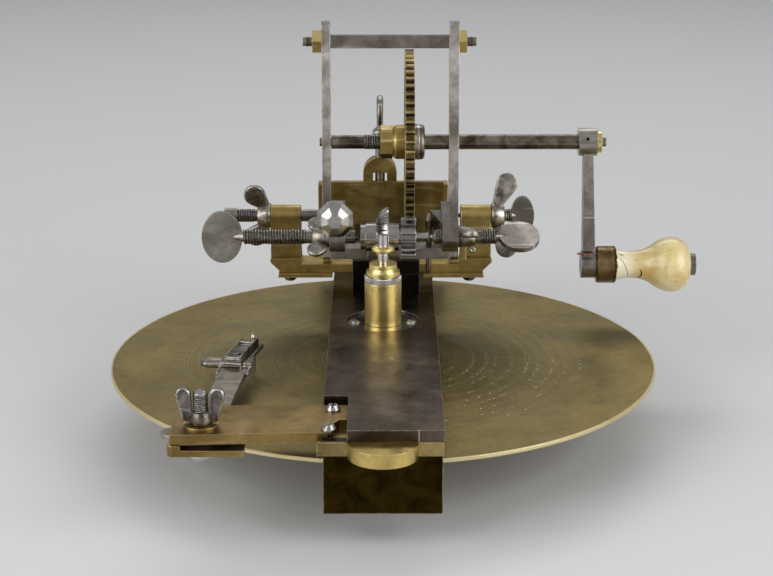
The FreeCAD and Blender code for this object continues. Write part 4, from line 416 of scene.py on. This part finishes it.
# Each look: the material's name, its light, dark and edge colours, and what differs from worn_metal's values
WORN_LOOKS = {
    "brass": ("brass_worn", (0.62, 0.47, 0.165), (0.30, 0.21, 0.068), BRASS_EDGE, {"pits": 0.25}),
    "brass_turned": (
        "brass_turned", (0.93, 0.76, 0.32), (0.72, 0.55, 0.19), (0.95, 0.84, 0.5),
        {"rough": (0.24, 0.36), "brush": (60, 60, 2600), "pits": 0.04, "scratch": 0.1}),
    "brass_bracket": (
        "brass_bracket", (0.36, 0.25, 0.095), (0.20, 0.13, 0.04), BRASS_EDGE,
        {"rough": (0.3, 0.48), "patch": 30, "scratch": 0.12, "edge_wear_and_highlight": 0.75, "bevel": 0.0007}),
    "brass_foot": (
        "brass_foot", (0.040, 0.025, 0.004), (0.012, 0.007, 0.001), (0.6, 0.46, 0.2),
        {"rough": (0.28, 0.45), "patch": 70, "edge_wear_and_highlight": 1.0, "scratch": 0.0, "bevel": 0.0009}),
    "brass_dull": (
        "brass_dull", (0.40, 0.30, 0.12), (0.16, 0.11, 0.04), BRASS_EDGE, {"rough": (0.34, 0.55)}),
    "brass_brown": (
        "brass_brown", (0.30, 0.205, 0.095), (0.12, 0.08, 0.035), (0.62, 0.48, 0.26),
        {"rough": (0.3, 0.45), "brush": (2200, 60, 60), "patch": 60}),
    "steel": (
        "steel_worn", (0.52, 0.485, 0.44), (0.19, 0.168, 0.142), STEEL_EDGE,
        {"pits": 0.6, "rough": (0.24, 0.42)}),
    "steel_forged": (
        "steel_forged", (0.56, 0.51, 0.45), (0.13, 0.11, 0.09), STEEL_EDGE,
        {"rough": (0.26, 0.44), "patch": 120, "pits": 0.8, "edge_wear_and_highlight": 0.8}),
    "steel_aged": (
        "steel_aged", (0.27, 0.245, 0.215), (0.075, 0.064, 0.052), STEEL_EDGE,
        {"rough": (0.26, 0.44), "patch": 140, "pits": 0.8, "edge_wear_and_highlight": 1.0, "bevel": 0.0007}),
    "steel_bright": (
        "steel_bright", (0.66, 0.65, 0.63), (0.36, 0.34, 0.31), (0.95, 0.95, 0.93),
        {"rough": (0.14, 0.28), "pits": 0.4}),
    "steel_polished": (
        "steel_polished", (0.62, 0.60, 0.575), (0.42, 0.40, 0.375), (0.97, 0.96, 0.95),
        {"rough": (0.24, 0.34), "pits": 0.3, "scratch": 0.2}),
    "steel_bar": (
        "steel_bar", (0.36, 0.32, 0.27), (0.17, 0.14, 0.115), STEEL_EDGE, {"pits": 0.4, "edge_wear_and_highlight": 0.7}),
    "steel_upright": (
        "steel_upright", (0.74, 0.70, 0.65), (0.26, 0.22, 0.18), STEEL_EDGE,
        {"brush": (900, 900, 25), "patch": 34, "pits": 0.6, "edge_wear_and_highlight": 0.7}),
    "steel_brown": (
        "steel_brown", (0.34, 0.295, 0.235), (0.085, 0.058, 0.04), (0.62, 0.58, 0.52),
        {"patch": 90, "pits": 0.9, "rough": (0.25, 0.42)}),
    "bed_steel": (
        "bed_steel", (0.185, 0.145, 0.108), (0.072, 0.053, 0.038), (0.72, 0.66, 0.58),
        {"bevel": 0.0006, "rough": (0.26, 0.40), "brush": (30, 700, 700), "patch": 34, "pits": 0.22,
         "edge_wear_and_highlight": 1.0, "scratch": 0.05}),
    "black_steel": (
        "black_steel", (0.022, 0.020, 0.016), (0.009, 0.008, 0.007), (0.45, 0.42, 0.38),
        {"rough": (0.24, 0.4), "scratch": 0.06, "edge_wear_and_highlight": 0.8}),
}

# Looks of small details: the material's name, its light and dark colours and its roughness
PLAIN_LOOKS = {
    "thread_crest": ("thread_crest", (0.62, 0.59, 0.55), (0.30, 0.27, 0.23), 0.2),
    # Near-black flanks of the threads: painted shade between the crests
    "thread_root": ("thread_root", (0.10, 0.085, 0.07), (0.03, 0.025, 0.02), 0.45),
    "engraved": ("engraved_line", (0.42, 0.36, 0.20), (0.16, 0.13, 0.06), 0.35),
    "copper": ("copper_seam", (0.55, 0.26, 0.13), (0.28, 0.12, 0.06), 0.35),
    # Black discs laid in holes: painted shade inside them
    "black": ("painted_hole_shade", (0.006, 0.006, 0.005), (0.003, 0.003, 0.003), 0.6),
    "black_brown": ("crack_dirt", (0.05, 0.028, 0.012), (0.02, 0.011, 0.005), 0.8),
    "ferrule_dark": ("ferrule_lip", (0.10, 0.075, 0.03), (0.03, 0.022, 0.01), 0.4),
}


def make_materials():
    made = {}
    for key, (name, light, dark, edge, settings) in WORN_LOOKS.items():
        made[key] = worn_metal(name, light, dark, edge, **settings)
    for key, look in PLAIN_LOOKS.items():
        made[key] = plain_metal(*look)
    made["gear_brass"] = gear_material()
    made["plate"] = plate_material()
    made["ivory"] = ivory_material()
    return made


# The looks of the CAD nodes, with those that a piece below stands in for
NODE_MATERIALS = {
    "brass": "rear_foot plate_nut under_bar yoke yoke_strip rear_plate gibs footstep "
             "index_washer clamp_arch gear_fasteners",
    "brass_bracket": "index_bracket index_clamp_plate",
    "brass_foot": "front_foot",
    "brass_turned": "barrel collet work_nut top_nuts crank_nut",
    "gear_brass": "drive_gear",
    "brass_brown": "handle_ferrule",
    "steel": "cheek_left cheek_right crossbar index_slider index_pointer centre_screw_left "
             "centre_screw_right pivot_screw_left pivot_screw_right crank_arm clamp_screw centre_nut_left "
             "centre_nut_right pivot_nut_left pivot_nut_right index_wing_nut",
    "steel_upright": "upright_left upright_right",
    "steel_bar": "top_bar index_arm",
    "steel_bright": "bearing_bush collet_ring arbor cutter cutter_arbor cutter_collar pinion clamp_knob "
                    "slotted_screws index_stud",
    "steel_brown": "crank_shaft stop_screw yoke_screws",
    "bed_steel": "bed lower_bar vice_block",
    "black_steel": "saddle",
    "plate": "dividing_plate",
    "ivory": "handle_grip",
}


def dress_nodes(m):
    for key, names in NODE_MATERIALS.items():
        for name in names.split():
            for slot in nodes[name].material_slots:
                slot.material = m[key]


# Shapes
def shifted(place, angle, axis="Z"):
    """A turn about an axis, in radians, and then a shift in millimetres."""
    return Matrix.Translation(Vector(place) * MM) @ Matrix.Rotation(angle, 4, axis)


def on_axis(axis, centre, distance, radius, angle):
    """The point at a distance along an axis, and at a radius and angle round it."""
    a, b = radius * math.cos(angle), radius * math.sin(angle)
    if axis == "X":
        return (distance, centre[0] + a, centre[1] + b)
    if axis == "Y":
        return (centre[0] + a, distance, centre[1] + b)
    return (centre[0] + a, centre[1] + b, distance)


def arc(centre, radius, start, sweep, steps):
    return [
        (centre[0] + radius * math.cos(start + sweep * i / steps),
         centre[1] + radius * math.sin(start + sweep * i / steps))
        for i in range(steps + 1)
    ]


def leaf(root, root_radius, tip, tip_radius):
    """The outline round two circles joined by their outer tangents."""
    run, climb = tip[0] - root[0], tip[1] - root[1]
    span = math.hypot(run, climb)
    lean = math.atan2(climb, run)
    side = math.acos((root_radius - tip_radius) / span)
    outer = arc(tip, tip_radius, lean - side, 2 * side, 14)
    inner = arc(root, root_radius, lean + side, 2 * math.pi - 2 * side, 8)
    return outer + inner


def shrunk(outline, middle, share):
    return [(middle[0] + (a - middle[0]) * share, middle[1] + (b - middle[1]) * share) for a, b in outline]


BOX_FACES = ((0, 1, 2, 3), (4, 5, 6, 7), (0, 1, 5, 4), (1, 2, 6, 5), (2, 3, 7, 6), (3, 0, 4, 7))


class Mesh:
    """Collects points in millimetres and faces, and turns them into a piece riding on a CAD body."""

    def __init__(self):
        self.points = []
        self.faces = []
        self.slots = []

    def face(self, corners, slot=0):
        self.faces.append(corners)
        self.slots.append(slot)

    def stack(self, rings):
        """Adds rings of equally many points, faces from each to the next, and a cap at both ends."""
        first = len(self.points)
        count = len(rings[0])
        for ring in rings:
            self.points += ring
        last = len(self.points) - count
        for a in range(first, last, count):
            b = a + count
            for i in range(count):
                ahead = (i + 1) % count
                self.face((a + i, a + ahead, b + ahead, b + i))
        self.face(tuple(range(first, first + count)))
        self.face(tuple(range(last, last + count)))

    def boxes(self, rows):
        """Adds boxes given by their low and high corners."""
        for low, high in rows:
            first = len(self.points)
            for z in (low[2], high[2]):
                for x, y in ((low[0], low[1]), (high[0], low[1]), (high[0], high[1]), (low[0], high[1])):
                    self.points.append((x, y, z))
            for corners in BOX_FACES:
                self.face(tuple(first + corner for corner in corners))

    def prism(self, outline, low, high, axis):
        """Adds an outline pushed along one axis: along X it is (y, z) points, and along Y (x, z)."""
        self.stack([[(level, a, b) if axis == "X" else (a, level, b) for a, b in outline]
                    for level in (low, high)])

    def build(self, name, body, looks, smooth=False, place=None, bevel=0.0):
        sharp_angle = math.radians(28)
        mesh = bpy.data.meshes.new(name)
        mesh.from_pydata([tuple(part * MM for part in point) for point in self.points], [], self.faces)
        mesh.polygons.foreach_set("material_index", self.slots)
        shape = bmesh.new()
        shape.from_mesh(mesh)
        if bevel:
            sharp = [edge for edge in shape.edges if edge.calc_face_angle(0) > sharp_angle]
            bmesh.ops.bevel(shape, geom=sharp, offset=bevel * MM, segments=2, affect="EDGES")
        bmesh.ops.recalc_face_normals(shape, faces=shape.faces)
        shape.to_mesh(mesh)
        shape.free()
        if place is not None:
            mesh.transform(place)
        for look in looks:
            mesh.materials.append(look)
        mesh.polygons.foreach_set("use_smooth", [smooth] * len(mesh.polygons))
        mesh.update()
        piece = bpy.data.objects.new(name, mesh)
        bpy.context.scene.collection.objects.link(piece)
        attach(piece, body)
        return piece


def thread(name, body, axis, centre, start, end, radius, pitch, height, looks):
    """A V thread wound round a plain shank, worn unevenly, tapering into the shank at its ends."""
    steps = 28
    taper = 1.6
    root = radius - 0.02
    total = int(((end - start) / pitch - 1) * steps)
    mesh = Mesh()
    for i in range(total + 1):
        angle = 2 * math.pi * i / steps
        middle = start + pitch * (0.5 + i / steps)
        fade = min(1, i / steps * taper, (total - i) / steps * taper)
        wear = 1 + 0.07 * math.sin(i * 0.37) + 0.06 * math.sin(i * 0.083)
        crest = radius + height * fade * wear
        for offset, level in ((-0.5, root), (-0.12, crest), (0.12, crest), (0.5, root)):
            mesh.points.append(on_axis(axis, centre, middle + offset * pitch, level, angle))
    for i in range(total):
        # Slot 1, the two flanks, takes the near-black material of painted shade; slot 0 is the crest
        for part, slot in ((0, 1), (1, 0), (2, 1)):
            a, b = 4 * i + part, 4 * i + 4 + part
            mesh.face((a, a + 1, b + 1, b), slot)
    mesh.build(name, body, looks)


def turned(name, body, axis, centre, profile, looks, steps, wobble=0.0, place=None):
    """A turned ring: its profile is a closed list of (distance along, radius) points."""
    mesh = Mesh()
    count = len(profile)
    for i in range(steps):
        angle = 2 * math.pi * i / steps
        for distance, radius in profile:
            shift = wobble * (math.sin(angle * 5 + distance) + math.sin(angle * 11 + 1)) / 2
            mesh.points.append(on_axis(axis, centre, distance, radius + shift, angle))
    for i in range(steps):
        ahead = (i + 1) % steps
        for k in range(count):
            after = (k + 1) % count
            mesh.face((i * count + k, i * count + after, ahead * count + after, ahead * count + k))
    return mesh.build(name, body, looks, smooth=True, place=place)


def knurl(name, body, centre, low, high, radius, count, height, look):
    """Fine upright ridges, of uneven height, round a ring on a Z axis."""
    foot = radius - 0.05
    inset = 0.25
    slope = 0.3
    levels = ((low, inset), (low + slope, 0), (high - slope, 0), (high, inset))
    half = math.pi / count * 0.94
    mesh = Mesh()
    for i in range(count):
        middle = 2 * math.pi * i / count
        crest = radius + height * random.uniform(0.75, 1.1)
        for angle, level in ((middle - half, foot), (middle, crest), (middle + half, foot)):
            for z, dip in levels:
                mesh.points.append(on_axis("Z", centre, z, level - dip, angle))
        for column in (0, 4):
            for row in range(3):
                a = 12 * i + column + row
                mesh.face((a, a + 4, a + 5, a + 1))
    mesh.build(name, body, [look])


def wing_nut(node, centre, facing, turn, hub, length, bore, wing, looks):
    """A forged wing nut that replaces its CAD node: a coned hub and two leaf wings with rounded edges."""
    half_thickness, swell, swell_share = 1.3, 0.25, 0.72
    reach, rise, lobe = wing
    root = length * 0.4
    mesh = Mesh()
    for side in (1, -1):
        outline = leaf((side * (bore + root + 0.4), length / 2), root, (side * reach, rise), lobe)
        middle = [sum(point[k] for point in outline) / len(outline) for k in (0, 1)]
        mesh.stack([
            [(x, y, z) for x, z in shrunk(outline, middle, share)]
            for y, share in (
                (-half_thickness - swell, swell_share), (-half_thickness, 1),
                (half_thickness, 1), (half_thickness + swell, swell_share))
        ])
    lay = {
        "+X": Matrix.Rotation(math.radians(90), 4, "Y"),
        "-X": Matrix.Rotation(math.radians(-90), 4, "Y"),
        "+Z": Matrix.Identity(4),
    }[facing]
    place = shifted(centre, math.radians(turn), facing[1]) @ lay
    wings = mesh.build(node + "_wings", node, looks, place=place, bevel=0.45)
    profile = [(0, bore), (0, hub - 0.4), (0.4, hub), (length * 0.35, hub), (length * 0.55, hub * 0.93),
               (length - 0.5, hub * 0.82), (length, hub * 0.76), (length, bore)]
    ring = turned(node + "_hub", node, "Z", (0, 0), profile, looks, 40, 0.05, place)
    for piece in (wings, ring):
        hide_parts(node)


def hair_line(name, body, node, origins, width, look):
    """A thin crack laid on a CAD node's surface, found by casting rays on to it from the front."""
    lift = 0.00004
    depth = 0.3
    backwards = Vector((0, 1, 0))
    skin = nodes[node].data
    tree = BVHTree.FromPolygons([v.co[:] for v in skin.vertices], [tuple(p.vertices) for p in skin.polygons])
    hits = []
    for origin in origins:
        spot, normal, _, _ = tree.ray_cast(Vector(origin) * MM, backwards)
        if spot is not None:
            hits.append((spot, normal))
    mesh = Mesh()
    last = len(hits) - 1
    for i, (spot, normal) in enumerate(hits):
        ahead = hits[min(i + 1, last)][0] - hits[max(i - 1, 0)][0]
        side = ahead.cross(normal).normalized()
        half = width / 2 * math.sin(math.pi * (i + 0.5) / (last + 1)) ** 0.6
        top = (spot + normal * lift) / MM
        mesh.points += [tuple(top - side * half), tuple(top + side * half), tuple(spot / MM - normal * depth)]
    for i in range(last):
        a, b = 3 * i, 3 * i + 3
        mesh.face((a, a + 1, b + 1, b))
        mesh.face((a + 1, a + 2, b + 2, b + 1))
        mesh.face((a + 2, a, b, b + 2))
    mesh.build(name, body, [look])


def number(name, body, text, place, turn, size, look):
    """A small engraved number lying on the plate."""
    font = bpy.data.curves.new(name, "FONT")
    font.body = text
    font.size = size * MM
    font.align_x = "CENTER"
    font.align_y = "CENTER"
    font.extrude = 0.00001
    font.resolution_u = 3
    source = bpy.data.objects.new(name + "_source", font)
    mesh = bpy.data.meshes.new_from_object(source)
    bpy.data.objects.remove(source)
    mesh.transform(shifted(place, turn))
    mesh.materials.clear()
    mesh.materials.append(look)
    mesh.polygons.foreach_set("material_index", [0] * len(mesh.polygons))
    piece = bpy.data.objects.new(name, mesh)
    bpy.context.scene.collection.objects.link(piece)
    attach(piece, body)


def block(name, body, low, high, bevel, look):
    """A small block with filed, rounded edges."""
    mesh = Mesh()
    mesh.boxes(((low, high),))
    mesh.build(name, body, [look], bevel=bevel)


# The pieces themselves. Sizes and places are in millimetres on the CAD frame.
def make_threads(m):
    # The crests take light steel, the flanks a near-black material that paints shade between them
    looks = [m["thread_crest"], m["thread_root"]]
    # body, axis and its centre, start, end, radius of the shank, pitch, height
    rows = (
        ("centre_screw_left", "X", CUTTER_AXIS, -79, -42.4, 3.8, 1.6, 0.42),
        ("centre_screw_right", "X", CUTTER_AXIS, 28.2, 33.4, 3.8, 1.4, 0.4),
        ("centre_screw_right", "X", CUTTER_AXIS, 54.3, 64.5, 3.8, 1.4, 0.4),
        ("pivot_screw_left", "X", PIVOT_AXIS, -87, -73.5, 3.5, 1.4, 0.38),
        ("pivot_screw_right", "X", PIVOT_AXIS, 71, 75, 3.5, 1.4, 0.38),
        ("frame", "Z", INDEX_STUD, 64.4, 75, 3.3, 1.1, 0.34),
        ("crank", "X", CRANK_AXIS, -11.6, -1.6, 3.9, 1.4, 0.38),
        ("swing_frame", "X", TOP_BAR_AXIS, -44.4, -40.3, 2.6, 1.0, 0.28),
        ("swing_frame", "X", TOP_BAR_AXIS, 47.8, 52, 2.6, 1.0, 0.28),
        ("crank", "X", CRANK_AXIS, 125.6, 127.9, 2.6, 1.1, 0.25),
    )
    for i, row in enumerate(rows):
        thread("thread_%d" % (i + 1), *row, looks)


def make_wing_nuts(m):
    # node, its axis, where the hub starts along X, facing, turn in degrees, hub radius and length, bore
    # radius, and the wing's reach, rise and tip radius
    rows = (
        ("centre_nut_left", CUTTER_AXIS, -30.2, "-X", 125, 6, 9.5, 4.0, (9.2, 7.5, 4.6)),
        ("centre_nut_right", CUTTER_AXIS, 42.1, "+X", 66, 6, 9.5, 4.0, (9.2, 7.5, 4.6)),
        ("pivot_nut_left", PIVOT_AXIS, -65, "-X", 12, 7.2, 7.6, 3.7, (13.2, 9, 6.2)),
        ("pivot_nut_right", PIVOT_AXIS, 62.6, "+X", -8, 7.2, 7.6, 3.7, (18.4, 9, 6.2)),
    )
    for node, axis, start, *sizes in rows:
        wing_nut(node, (start, *axis), *sizes, [m["steel_forged"]])
    wing_nut("index_wing_nut", (*INDEX_STUD, 58.95), "+Z", -4, 5.6, 6.4, 3.45, (8.2, 14.3, 3.6),
             [m["steel_aged"]])


def make_knob(m):
    """The clamp knob: a polished eight-sided head, a low cone of facets in front and a bevelled back."""
    sides = 8
    back = 19.4
    levels = ((back, 7.5), (back - 2.2, 10.9), (back - 3.4, 10.9), (back - 6.6, 8.1), (back - 8.6, 4.2))
    mesh = Mesh()
    mesh.stack([
        [on_axis("Y", KNOB_AXIS, y, radius, math.radians(22.5 + 45 * i)) for i in range(sides)]
        for y, radius in levels
    ])
    head = mesh.build("clamp_knob_head", "clamp_knob", [m["steel_polished"]], bevel=0.3)
    profile = [(back - 1, 0.2), (back - 1, 3), (back + 6.9, 3), (back + 6.9, 0.2)]
    shank = turned("clamp_knob_shank", "clamp_knob", "Y", KNOB_AXIS, profile, [m["steel"]], 24)
    for piece in (head, shank):
        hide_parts("clamp_knob")


def make_yoke(m):
    """The yoke: a bar with bevelled lower corners, two round-topped ears, and strips screwed on below."""
    low, top, shoulder, corner = 72.5, 76.7, 80.2, 6
    front, back, strip_front, strip_low = 55, 75, 51, 70.3
    outer_left, inner_left, inner_right, outer_right = -64.9, -47.5, 44.8, 62.5
    ear_radius = 6.2
    pivot_y = PIVOT_AXIS[0]

    mesh = Mesh()
    mesh.prism([
        (-58.9, low), (56.5, low), (outer_right, low + corner), (outer_right, shoulder),
        (inner_right, shoulder), (inner_right, top), (inner_left, top), (inner_left, shoulder),
        (outer_left, shoulder), (outer_left, low + corner),
    ], front, back, "Y")
    bar = mesh.build("yoke_bar", "carriage", [m["brass"]], bevel=0.35)

    mesh = Mesh()
    ear = [(pivot_y - ear_radius, shoulder - 0.5), (pivot_y + ear_radius, shoulder - 0.5)]
    ear += arc(PIVOT_AXIS, ear_radius, 0, math.pi, 20)
    for start, end in ((outer_left, inner_left), (inner_right, outer_right)):
        mesh.prism(ear, start, end, "X")
    ears = mesh.build("yoke_ears", "carriage", [m["brass"]], bevel=0.3)
    for piece in (bar, ears):
        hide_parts("yoke")

    mesh = Mesh()
    mesh.boxes([
        ((start, strip_front, strip_low), (end, back, low))
        for start, end in ((-60.3, -29.6), (23.5, 57.9))
    ])
    strips = mesh.build("yoke_strips", "carriage", [m["brass"]], bevel=0.3)
    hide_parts("yoke_strip")
    profile = [(70.4, 0.3), (70.4, 3.6), (67, 3.6), (66, 2.6), (65.9, 0.3)]
    for name, x in (("left", -54), ("right", 50)):
        head = turned("yoke_screw_" + name, "carriage", "Z", (x, 61), profile, [m["steel_brown"]], 28)
        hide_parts("yoke_screws")


def make_index_head(m):
    """The index slide: a clamped block with a finger leaf, and the channelled head that carries the pin."""
    lean = math.atan2(101, 9)
    head_place, head_turn = 104, -8
    place = shifted((*INDEX_STUD, 0), lean)
    turn = place @ shifted((head_place, 0, 0), math.radians(head_turn))
    forged = [m["steel_forged"]]

    # The block is open round the arm, which passes between its four slabs
    near, far, right, left = 88, 109.6, -8.6, 8.4
    mesh = Mesh()
    mesh.boxes((
        ((97.6, right, 52.7), (far, left, 54.6)),
        ((near, right, 48.7), (far, left, 50.1)),
        ((near, right, 50), (far, -7.1, 52.8)),
        ((near, 7.1, 50), (far, left, 52.8)),
    ))
    block_piece = mesh.build("index_slide_block", "index_slider", forged, place=place, bevel=0.4)

    mesh = Mesh()
    outline = leaf((104.4, 4.6), 4.4, (103.6, 15.4), 3.6)
    middle = (104, 10)
    mesh.stack([
        [(x, y, level) for x, y in shrunk(outline, middle, share)]
        for level, share in ((50.6, 0.8), (51.4, 1), (53.2, 1), (54.1, 0.86), (53.5, 0.66))
    ])
    finger = mesh.build("index_finger", "index_slider", forged, smooth=True, place=place)

    # The head's floor, its left and right walls, two cross pieces in the channel, and the rail beside it
    mesh = Mesh()
    mesh.boxes((
        ((-7.5, -4.4, 54.5), (23.5, 4.4, 57.2)),
        ((-7.5, 3.5, 57), (23.5, 4.4, 58.6)),
        ((-7.5, -4.8, 51.5), (25, -3.9, 59.3)),
        ((16.6, -3.9, 57), (19.4, 3.6, 58.9)),
        ((-7.5, -3.9, 57), (-1.5, 3.6, 58.3)),
        ((-6, -6.9, 52.8), (27.5, -5.1, 55)),
    ))
    head = mesh.build("index_head", "index_slider", forged, place=turn, bevel=0.25)
    profile = [(39.4, 0.1), (40.6, 0.45), (42, 1.4), (54.6, 1.4), (58, 1.2), (60.6, 1.1), (63, 0.8),
               (63.1, 0.1)]
    pin = turned("index_pin", "index_slider", "Z", (-70.2, -28.4), profile, [m["steel_bright"]], 24)
    holes = []
    # Thin black discs on the head's top stand for its holes: painted shade inside them
    for name, centre, top in (("front", (-2, -3), 58.62), ("back", (22, -2.4), 57.52)):
        hollow = [(top, 0.1), (top, 1.3), (top - 0.22, 1.3), (top - 0.22, 0.1)]
        shaded_hole = turned("index_hole_" + name, "index_slider", "Z", centre, hollow, [m["black"]], 20, place=turn)
        holes.append(shaded_hole)
    for piece in (block_piece, finger):
        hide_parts("index_slider")
    for piece in (head, pin, *holes):
        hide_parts("index_pointer")


def make_crank_details(m):
    """The polished collar behind the gear, and the domed ends of the studs and of the handle's rivet."""
    collar = [(17.7, 3), (17.7, 9.2), (18.5, 10.1), (20.6, 10.15), (22.4, 9.5), (23.3, 8), (23.5, 6.4),
              (23.5, 3)]
    turned("crank_collar", "crank", "X", CRANK_AXIS, collar, [m["steel_polished"]], 56, 0.02)
    for name, end, side in (("left", -45.7, -1), ("right", 53.2, 1)):
        dome = [(end - side * 1.6, 0.1), (end - side * 1.6, 2.55), (end - side * 0.9, 2.55),
                (end - side * 0.25, 1.9), (end - side * 0.01, 0.9), (end, 0.1)]
        turned("stud_dome_" + name, "swing_frame", "X", (75.75, 203.2), dome, [m["steel_bright"]], 28)
    rivet = [(179.4, 0.1), (179.4, 6.4), (180.8, 6.2), (182.2, 5.1), (183, 3), (183.2, 0.1)]
    turned("handle_rivet", "handle", "X", HANDLE_AXIS, rivet, [m["steel_polished"]], 40, 0.05)


def make_plate_numbers(m):
    """Plain division numbers near each ring's start, engraved by hand a little unevenly."""
    inset, start, size, lift = 6.5, -34, 3.1, 0.015
    for i, text in enumerate(RING_NUMBERS):
        radius = FIRST_RING + inset + RING_STEP * i
        angle = math.radians(start + random.uniform(-2, 2))
        place = (radius * math.cos(angle), radius * math.sin(angle), PLATE_TOP + lift)
        turn = angle + math.pi / 2 + random.uniform(-0.1, 0.1)
        number("plate_number_" + text, "spindle", text, place, turn, size, m["engraved"])


def make_small_pieces(m):
    knurl("collet_knurl", "spindle", (0, 0), 84.2, 87.4, 9.75, 54, 0.42, m["steel_bright"])
    block("yoke_key", "carriage", (44.9, 53.4, 79.9), (48, 55.2, 89.6), 0.35, m["brass"])
    block("foot_flange", "frame", (-31.4, -165.7, 48.3), (28.9, -163.6, 55.1), 0.3, m["brass_dull"])
    profile = [(55.2, 0.2), (53.6, 0.2), (53.3, 1.2), (53.5, 1.9), (55.2, 1.9)]
    turned("yoke_side_screw", "carriage", "Y", (51.5, 86), profile, [m["steel_bright"]], 28)
    # A thin black disc stands for the oil hole: painted shade inside it
    oil = [(-0.5, 0.05), (0.05, 0.05), (0.08, 0.95), (-0.5, 0.95)]
    place = shifted((117, 62.35, 149.4), math.radians(66), "X")
    turned("oil_hole", "crank", "Z", (0, 0), oil, [m["black"]], 20, place=place)
    block("copper_seam", "crank", (113, 61.4, 80.9), (122.2, 63.5, 81.5), 0.15, m["copper"])


def make_ferrule_lip(m):
    """The ferrule's ragged edge on the ivory."""
    steps = 72
    start, end, outer, lip, inner = 134.6, 135.3, 10.9, 10.15, 9.3
    mesh = Mesh()
    for i in range(steps):
        angle = 2 * math.pi * i / steps
        reach = 0.5 + 1.1 * random.random() * (0.6 + 0.4 * math.sin(angle * 3))
        profile = ((start, outer), (end, outer), (end + reach, lip), (end + reach, inner), (start, inner))
        for x, radius in profile:
            mesh.points.append(on_axis("X", HANDLE_AXIS, x, radius, angle))
    for i in range(steps):
        ahead = (i + 1) % steps
        for k in range(4):
            mesh.face((5 * i + k, 5 * i + k + 1, 5 * ahead + k + 1, 5 * ahead + k))
    mesh.build("ferrule_lip", "handle", [m["ferrule_dark"]])


def make_ivory_cracks(m):
    """Three dark cracks in the grip, each a curve of (x, z) seen from the front and laid on the ivory."""
    front = 40
    # name, steps, width, and the curve with t running from 0 to 1
    rows = (
        ("long", 24, 0.34,
         lambda t: (137 + 6.2 * math.sin(t * 1.5), 78.6 - 11.5 * t + 1.2 * math.sin(t * 5))),
        ("short", 8, 0.5, lambda t: (137.2 + 3.4 * t, 80.2 - 0.8 * t)),
        ("deep", 16, 0.75, lambda t: (149.4 + 1.3 * math.sin(t * 4), 72.2 - 7.6 * t)),
    )
    for name, steps, width, curve in rows:
        places = [curve(i / steps) for i in range(steps + 1)]
        origins = [(x, front, z) for x, z in places]
        hair_line("ivory_crack_" + name, "handle", "handle_grip", origins, width, m["black_brown"])


make_camera()
make_studio()
materials = make_materials()
dress_nodes(materials)
make_threads(materials)
make_wing_nuts(materials)
make_knob(materials)
make_yoke(materials)
make_index_head(materials)
make_crank_details(materials)
make_plate_numbers(materials)
make_small_pieces(materials)
make_ferrule_lip(materials)
make_ivory_cracks(materials)
